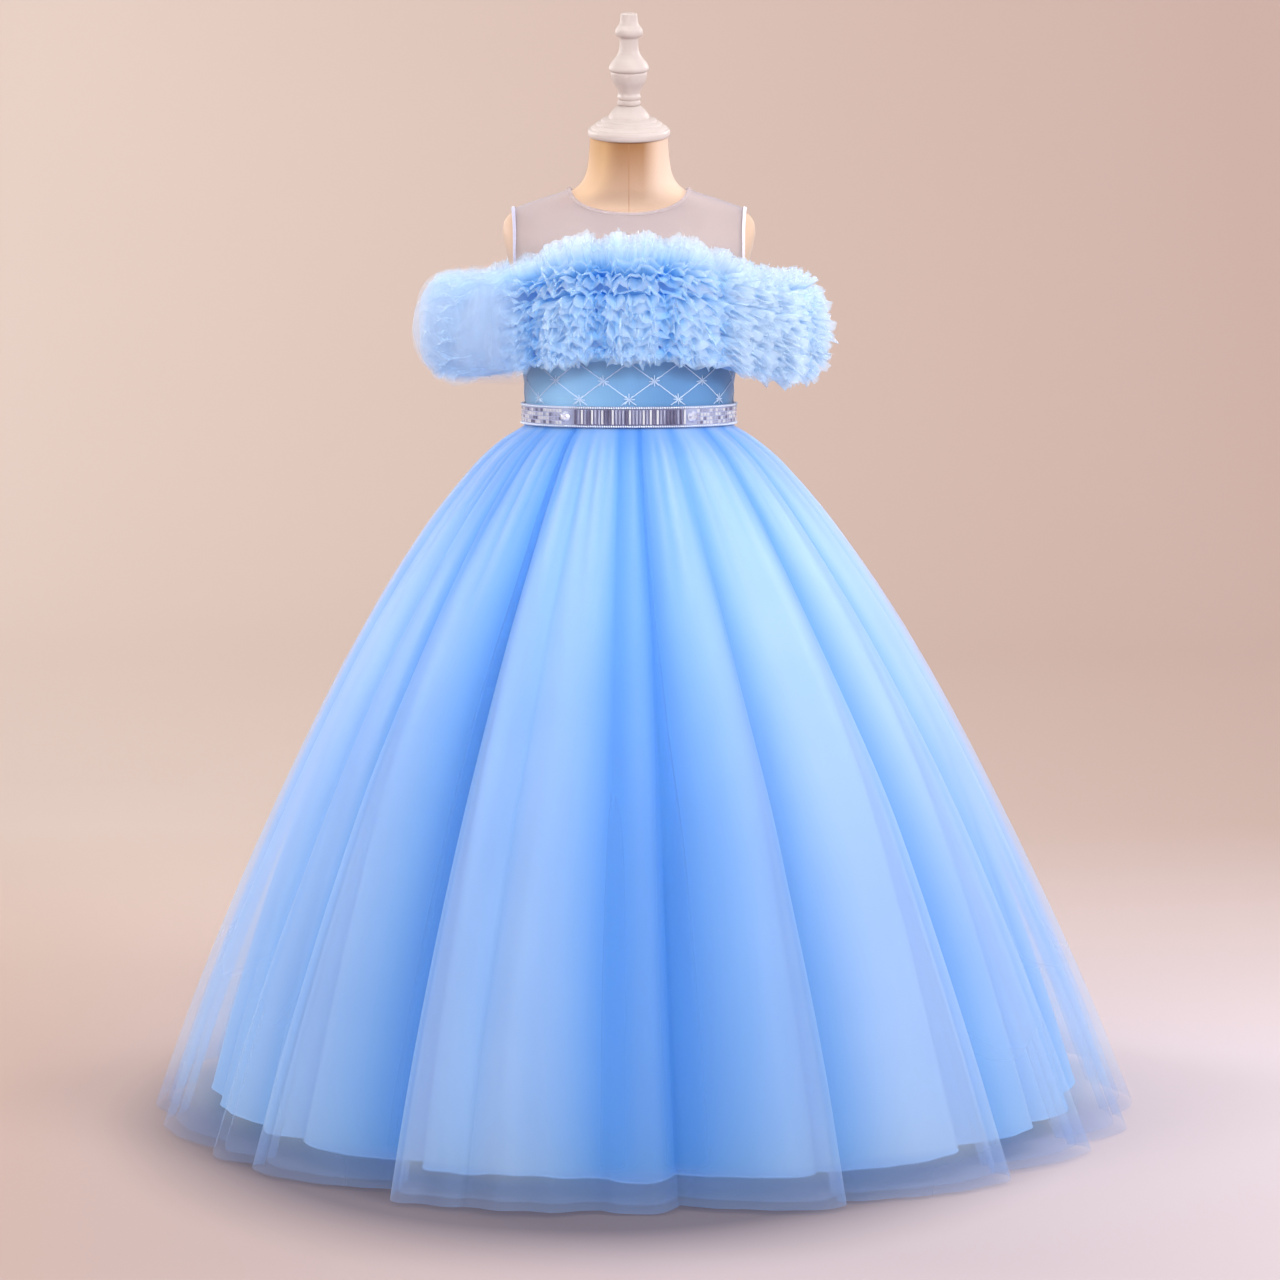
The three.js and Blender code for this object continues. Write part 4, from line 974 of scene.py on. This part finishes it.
def make_skirt():
    count = len(FOLDS)

    def sheet_of(name, layer, look, hem, steps, rows, lean_gain=1.0, inward=0.0, thick=0.0):
        position = (np.arange(count * steps) / steps)[None]
        share = np.linspace(0, 1, rows)[:, None]
        z = hem + (SKIRT_TOP[layer] - hem) * (1 - (1 - share) ** 1.35)
        uneven = (4.0 if thick else 2.2) * ripple(position / count, 31, 3, 17) * (1 - share) ** 4
        points, tone, gather = skirt_point(layer, position, z, lean_gain, inward)
        points[..., 2] = np.maximum(points[..., 2] + uneven, 1.0)
        # Painted light: painted highlight on the crests and gathers, towards +X higher up where the key light
        # falls, and towards both sides, with painted shade in the valleys that never goes quite dark.
        key_lit_side = smooth(0.5 + points[..., 0] / 500)
        aside = np.abs(points[..., 0] - SWAY_X)
        high_up = smooth(share * 1.5 - 0.25) * (1 - 0.5 * smooth(share * 6 - 5))
        tone = (tone - 0.12) * (0.8 + 0.2 * (1 - share)) + 0.1 * ripple(position / count, 33, 5, 40)
        tone = tone + 0.24 * gather + (0.04 + 0.34 * key_lit_side) * high_up + 0.26 * smooth(aside / 300) - 0.1
        tone = np.minimum(0.5 * (tone + np.sqrt(tone * tone + 0.014)), 1)
        if thick:
            across = np.roll(points, -1, axis=1) - np.roll(points, 1, axis=1)
            normals = unit(np.cross(across, np.gradient(points, axis=0)))
            parts = shell_parts(points, points + normals * thick, tone, True)
            hem_line = np.concatenate([points[0], points[0, :1]]) + [0, 0, 0.6]
            parts.append(tube_part(hem_line, HEM_ROLL_RADIUS, 6, tone=1.0))
        else:
            thin = 0.42 * smooth((aside - 240) / 250) * smooth(1 - share * 2.8)
            parts = [sheet_part(points, tone, True, thin)]
        obj = build(name, parts, LOOKS[look], "skirt_" + layer, sharp=80 if thick else None)
        declare([points], True)

    sheet_of("skirt_lining_cloth", "lining", "lining", LINING_HEM_Z, 16, 46, thick=LINING_THICK)
    sheet_of("skirt_tulle_outer", "tulle", "tulle", TULLE_HEM_Z, 22, 84, 1.4)
    sheet_of("skirt_tulle_inner", "tulle", "tulle", INNER_HEM_Z, 16, 60, 1.2, INNER_INWARD)


# ------------------------------------------------------------------ shoulder band and ruffles
def make_band():
    share = np.linspace(ROW_GAP, 1 - ROW_GAP, 300)
    x, y, out, _, arm = loop_frame(share)
    z = np.linspace(BAND["low"], BAND["high"], 12)[:, None] - BAND["drop"] * arm[None]
    outer = stack(x[None], y[None], z)
    inner = outer - out[None] * BAND["wall"]
    parts = shell_parts(inner, outer, 0.4)
    obj = build("shoulder_band_satin", parts, LOOKS["band"], "shoulder_band", sharp=60)
    declare([outer])


def gathered_strip(row, strip, seed, columns=1180, rows=9):
    """One gathered strip of a ruffle from its sewn edge outwards, how pale each point is and how thin."""
    root, arm_root, side_loss, _ = ROWS[row]
    cloth = FRILL if row == "top_frill" else RUFFLE
    share = np.linspace(ROW_GAP, 1 - ROW_GAP, columns)[None]
    x, y, out, ahead, arm = loop_frame(share)
    v = np.linspace(0, 1, rows)[:, None]

    def waves(number, slowest, fastest, terms=7):
        return ripple(share, seed + number, slowest, fastest, terms)

    round_ = (share - 0.5) * LOOP_LENGTH[-1]
    gap = sum(np.exp(-(((round_ - at) / width) ** 2)) for at, width in BUNCH_GAPS)
    gap = np.clip(gap, 0, 1) * cloth["gap"]
    # The sleeve on the -X side is brushed smooth and soft, and the one on the +X side is combed out in front.
    soft = smooth((-x - 78) / 36) * smooth((60 - y) / 30)
    crisp = 1 - 0.92 * soft
    comb = smooth((x - 40) / 46) * smooth((170 - x) / 40) * smooth((30 - y) / 30)
    bunch = np.clip(0.5 + 0.6 * ripple(share, 7, 16, 34) + 0.35 * waves(1, 18, 44), 0, 1.2)

    # lift moves a point across the strip, as its pleats do, and swing moves it along the band.
    phase = 2 * np.pi * cloth["pleats"] * share + 2.6 * waves(2, 12, 70) + 0.5 * v * waves(3, 20, 60)
    fine = np.sin(2.13 * phase + 2 * waves(4, 20, 80))
    size = cloth["high"] * (0.45 + 0.7 * bunch) * crisp * v**0.7
    puff = 4.6 * soft * v * (np.sin(0.21 * phase + seed) + 0.5 * np.sin(0.37 * phase + 2 * seed))
    lift = size * np.sin(phase) + 0.9 * crisp * v * fine + puff
    swing = 0.22 * size * np.sin(2 * phase) + cloth["sway"] * crisp * v**1.4 * waves(5, 22, 46)
    swing = swing + cloth["comb"] * comb * v**1.2
    ragged = crisp * (0.1 * waves(6, 80, 190, 9) + 0.08 * waves(7, 24, 60))
    far = v * (1 + ragged * cloth["ragged"] * v) * (1 - 0.32 * gap * v) * (0.92 + 0.12 * bunch)

    reach, rise = mix(strip[0], strip[2], arm), mix(strip[1], strip[3], arm)
    length = np.hypot(reach, rise)
    arch = cloth["arch"] * np.sin(np.pi * v) * (1 - 0.5 * arm)
    upward = rise * (1 - side_loss * arm) * far**1.3 + arch
    n_out, n_up = -rise / length, reach / length
    base = stack(x, y, mix(root, arm_root, arm))
    points = base + out * (0.8 + reach * far + n_out * lift)[..., None] + ahead * swing[..., None]
    points[..., 2] += upward + n_up * lift - cloth["drop"] * comb * v**1.3
    # Painted light: paler on the pleats' crests, at the free edge, towards the arms and where combed, and
    # painted shade in the hollows between bunches and near the sewn edge.
    tone = 0.36 + 0.58 * v**1.1 + 0.16 * v * np.sin(phase) + 0.12 * v * fine - 0.5 * gap * (1 - 0.5 * v)
    tone = tone + 0.2 * arm * v + 0.12 * comb + cloth["pale"]
    tone = mix(tone, 0.55 + 0.3 * v, 0.9 * soft)
    fade = 0.4 * v**4 + 0.5 * soft * smooth((v - 0.6) / 0.4)
    return points, np.clip(tone, 0, 1), np.clip(fade, 0, 0.95)


# The brushed sleeve from its top edge round to its lower one, as distance out from the band and height, the
# height it shrinks towards, and the size of each of its layers with how thin it is.
SLEEVE_OUTLINE = [(2, 843), (12, 841), (22, 834), (31, 821), (37, 803), (39, 783), (37, 765), (31, 750),
                  (21, 739), (6, 733)]
SLEEVE_MIDDLE_Z = 788
SLEEVE_LAYERS = [(1.05, 0.6), (1.0, 0.35), (0.94, 0.1), (0.82, 0), (0.68, 0)]


def make_brushed_sleeve():
    """The soft outer layers of the sleeve on the -X side, thinning out towards the bodice."""
    share = np.linspace(0.1, 0.41, 170)[None]
    x, y, out, _, arm = loop_frame(share)
    last = len(SLEEVE_OUTLINE) - 1
    v = np.linspace(0, last, 44)[:, None]
    reach, height = (np.interp(v, np.arange(last + 1), column) for column in zip(*SLEEVE_OUTLINE))
    shows = smooth((-x - 84) / 44) * smooth((70 - y) / 40)
    ends = smooth(v / 3) * smooth((last - v) / 2.4)
    turn, down = 2 * np.pi * share, v / 3
    grids, parts = [], []
    for layer, (size, thin) in enumerate(SLEEVE_LAYERS):
        bumps = (np.sin(23 * turn + 2.1 * down + layer) + np.sin(41 * turn - 1.3 * down + 3 * layer)
                 + np.sin(11 * turn + 4.7 * down + 2 * layer))
        z = SLEEVE_MIDDLE_Z + (height - SLEEVE_MIDDLE_Z) * mix(size, 1, 0.35)
        grids.append(stack(x, y, z) + out * (reach * size + 1.3 * bumps * ends)[..., None])
        # Painted light: a little paler on the bumps and painted shade towards the lower edge.
        tone = np.clip(0.8 + 0.05 * bumps - 0.1 * down / 3, 0, 1)
        fade = np.clip(1 - (1 - thin) * shows * mix(0.3, 1, ends), 0, 1)
        parts.append(sheet_part(grids[-1], tone, fade=fade))
    sleeve = build("sleeve_brushed_layers", parts, LOOKS["brushed"])
    declare(grids)


def make_ruffles():
    for index, (row, (_, _, _, strips)) in enumerate(ROWS.items()):
        grids, parts = [], []
        for layer, strip in enumerate(strips):
            points, tone, fade = gathered_strip(row, strip, 100 * index + 10 * layer)
            grids.append(points)
            parts.append(sheet_part(points, tone, fade=fade))
        node = "ruffle_" + row
        obj = build(node + "_pleats", parts, LOOKS["ruffle"], node)
        declare(grids)


# ------------------------------------------------------------------ zip
TAPE_HALF_WIDE, TEETH_PITCH = 3, 1.6


def make_zip():
    z = np.linspace(712, 909, 160)
    y = section("y_centre", z) + section("half_depth", z)
    tilt = np.gradient(y, z)
    normal = unit(stack(0 * z, np.ones_like(z), -tilt))
    line = stack(0 * z, y, z)
    spread = np.linspace(-TAPE_HALF_WIDE, TAPE_HALF_WIDE, 9)
    across = spread[None, :, None] * np.array([-1.0, 0, 0])
    # The tape dips where the two halves meet under the teeth.
    face = 2.3 - 0.25 * (np.abs(spread) < 0.5)
    outer = line[:, None] + across + normal[:, None] * face[None, :, None]
    inner = line[:, None] + across + normal[:, None] * 1.0
    parts = shell_parts(inner, outer, 0.4)
    tape = build("zip_tape_woven", parts, LOOKS["tape"], "zip_tape", sharp=60)
    declare([outer])
    teeth = []
    for k, at in enumerate(np.arange(714, 890, TEETH_PITCH)):
        centre = np.array([0.45 * (-1) ** k, np.interp(at, z, y), at])
        n = unit(np.array([0, 1, -np.interp(at, z, tilt)]))
        up = unit(np.cross(n, [1.0, 0, 0]))
        teeth.append(faceted(centre + n * 2.1, n, up if up[2] > 0 else -up, 1.5, 1.6, 0.45))
    build("zip_teeth", teeth, LOOKS["enamel"])
    repaint(("zip_slider", "zip_pull"), LOOKS["enamel"])


# ------------------------------------------------------------------ stage
# Each lamp: name, place and target in metres, size, power, colour and spread in degrees. The last four light
# the backdrop and the gown's edges.
LAMPS = [
    ("key", (3.2, -2.6, 2.4), (0, 0, 0.6), 2.4, 110, (1.0, 0.99, 0.98), 180),
    ("fill", (-3.2, -2.4, 1.8), (0, 0, 0.6), 2.6, 70, (1.0, 0.99, 0.98), 180),
    ("top", (0, -0.2, 3.8), (0, 0, 0.5), 2.6, 40, (1.0, 1.0, 1.0), 180),
    ("front", (0.5, -3.2, 2.3), (0, -0.1, 0.75), 0.7, 0.72, (0.88, 0.95, 1.0), 19),
    ("wall_left", (-2.6, 3.2, 3.6), (-0.9, 6.3, 0.5), 2.0, 45, (1.0, 1.0, 1.0), 180),
    ("wall_right", (2.6, 3.2, 3.6), (0.9, 6.3, 0.5), 2.0, 45, (1.0, 1.0, 1.0), 180),
    ("rim_left", (-2.5, 1.7, 1.7), (0, 0, 0.6), 1.2, 5.5, (1.0, 0.97, 0.98), 55),
    ("rim_right", (2.5, 1.7, 2.0), (0, 0, 0.65), 1.2, 4.5, (0.96, 0.98, 1.0), 55),
]
# The sweep in millimetres. Its wall stands farther off than the camera ever goes.
SWEEP_HALF_WIDE, SWEEP_HIGH, SWEEP_BEND, BEND_FROM_Y = 8000, 6000, 2600.0, 3800
SKY_COLOUR, SKY_LIGHT = (0.93, 0.88, 0.86, 1), 0.54
# The photo's camera, in metres, looking down by some degrees through a long lens, in millimetres.
CAMERA_PLACE, CAMERA_DOWN, CAMERA_LENS = (0.011, -4.0, 0.931), 6.59, 111.5


def studio_paper():
    """Warm paper with painted light: the wall paler on the left and the floor paler on the right, and a painted
    shadow under the skirt.
    """
    look = Look("studio_paper")
    wall = look.ramp(look.place(0, -1.5, 1.5),
                     [(0, (226, 208, 198)), (0.5, (215, 194, 184)), (1, (202, 176, 168))])
    floor = look.ramp(look.place(0, -0.9, 0.9),
                      [(0, (198, 168, 150)), (0.5, (180, 164, 168)), (1, (224, 211, 217))])
    colour = look.blend(look.place(1, 0.2, 1.7), floor, wall)
    # A painted shadow on the floor round and under the skirt's foot.
    spot = look.node("SeparateXYZ", Vector=look.node("TexCoord").outputs["Object"])
    sideways = look.times(look.math("ADD", spot.outputs[0], 0.04), 1.27)
    deep = look.math("ADD", spot.outputs[1], 0.07)
    away = look.math("SQRT", look.math("ADD", look.times(sideways, sideways), look.times(deep, deep)))
    skirt_shadow = look.node("MapRange", Value=away, From_Min=0.64, From_Max=0.47).outputs[0]
    colour = look.blend(look.times(look.math("POWER", skirt_shadow, 1.5), 0.8), colour, linear(66, 64, 84))
    colour = look.blend(look.times(look.noise(1.2, 2.0), 0.12), colour, linear(196, 176, 170))
    return look.finish(look.surface(colour, 0.95))


def make_stage():
    angle = np.linspace(0, np.pi / 2, 24)
    y = BEND_FROM_Y + SWEEP_BEND * np.sin(angle)
    y = np.concatenate([[-SWEEP_HALF_WIDE, -2500, -800, 400], y, [BEND_FROM_Y + SWEEP_BEND]])
    z = np.concatenate([[0, 0, 0, 0], SWEEP_BEND * (1 - np.cos(angle)), [SWEEP_HIGH]])
    x = np.linspace(-SWEEP_HALF_WIDE, SWEEP_HALF_WIDE, 9)
    grid = stack(x[None], y[:, None], z[:, None])
    sweep = build("studio_sweep", [{"points": grid, "quads": quads_of(len(y), len(x))}], studio_paper())
    sweep.parent = None

    scene = bpy.context.scene
    for name, place, target, size, power, colour, spread in LAMPS:
        data = bpy.data.lights.new(name, "AREA")
        data.shape, data.size, data.energy, data.color = "DISK", size, power, colour
        data.spread = math.radians(spread)
        lamp = bpy.data.objects.new(name, data)
        lamp.location = place
        lamp.rotation_euler = (Vector(target) - Vector(place)).to_track_quat("-Z", "Y").to_euler()
        scene.collection.objects.link(lamp)
    scene.world = bpy.data.worlds.new("studio")
    scene.world.use_nodes = True
    sky = scene.world.node_tree.nodes["Background"].inputs
    sky[0].default_value, sky[1].default_value = SKY_COLOUR, SKY_LIGHT

    camera = bpy.data.objects.new("camera", bpy.data.cameras.new("camera"))
    camera.data.lens, camera.data.sensor_width = CAMERA_LENS, 36
    camera.location = CAMERA_PLACE
    camera.rotation_euler = (math.radians(90 - CAMERA_DOWN), 0, 0)
    scene.collection.objects.link(camera)
    scene.camera = camera
    scene.view_settings.view_transform = "Standard"
    cycles = scene.cycles
    cycles.transparent_max_bounces = 20
    cycles.max_bounces, cycles.diffuse_bounces, cycles.glossy_bounces, cycles.transmission_bounces = 5, 3, 2, 3


make_form()
make_bodice()
make_yoke()
make_bindings()
make_trellis()
make_belt()
make_skirt()
make_band()
make_ruffles()
make_brushed_sleeve()
make_zip()
make_stage()
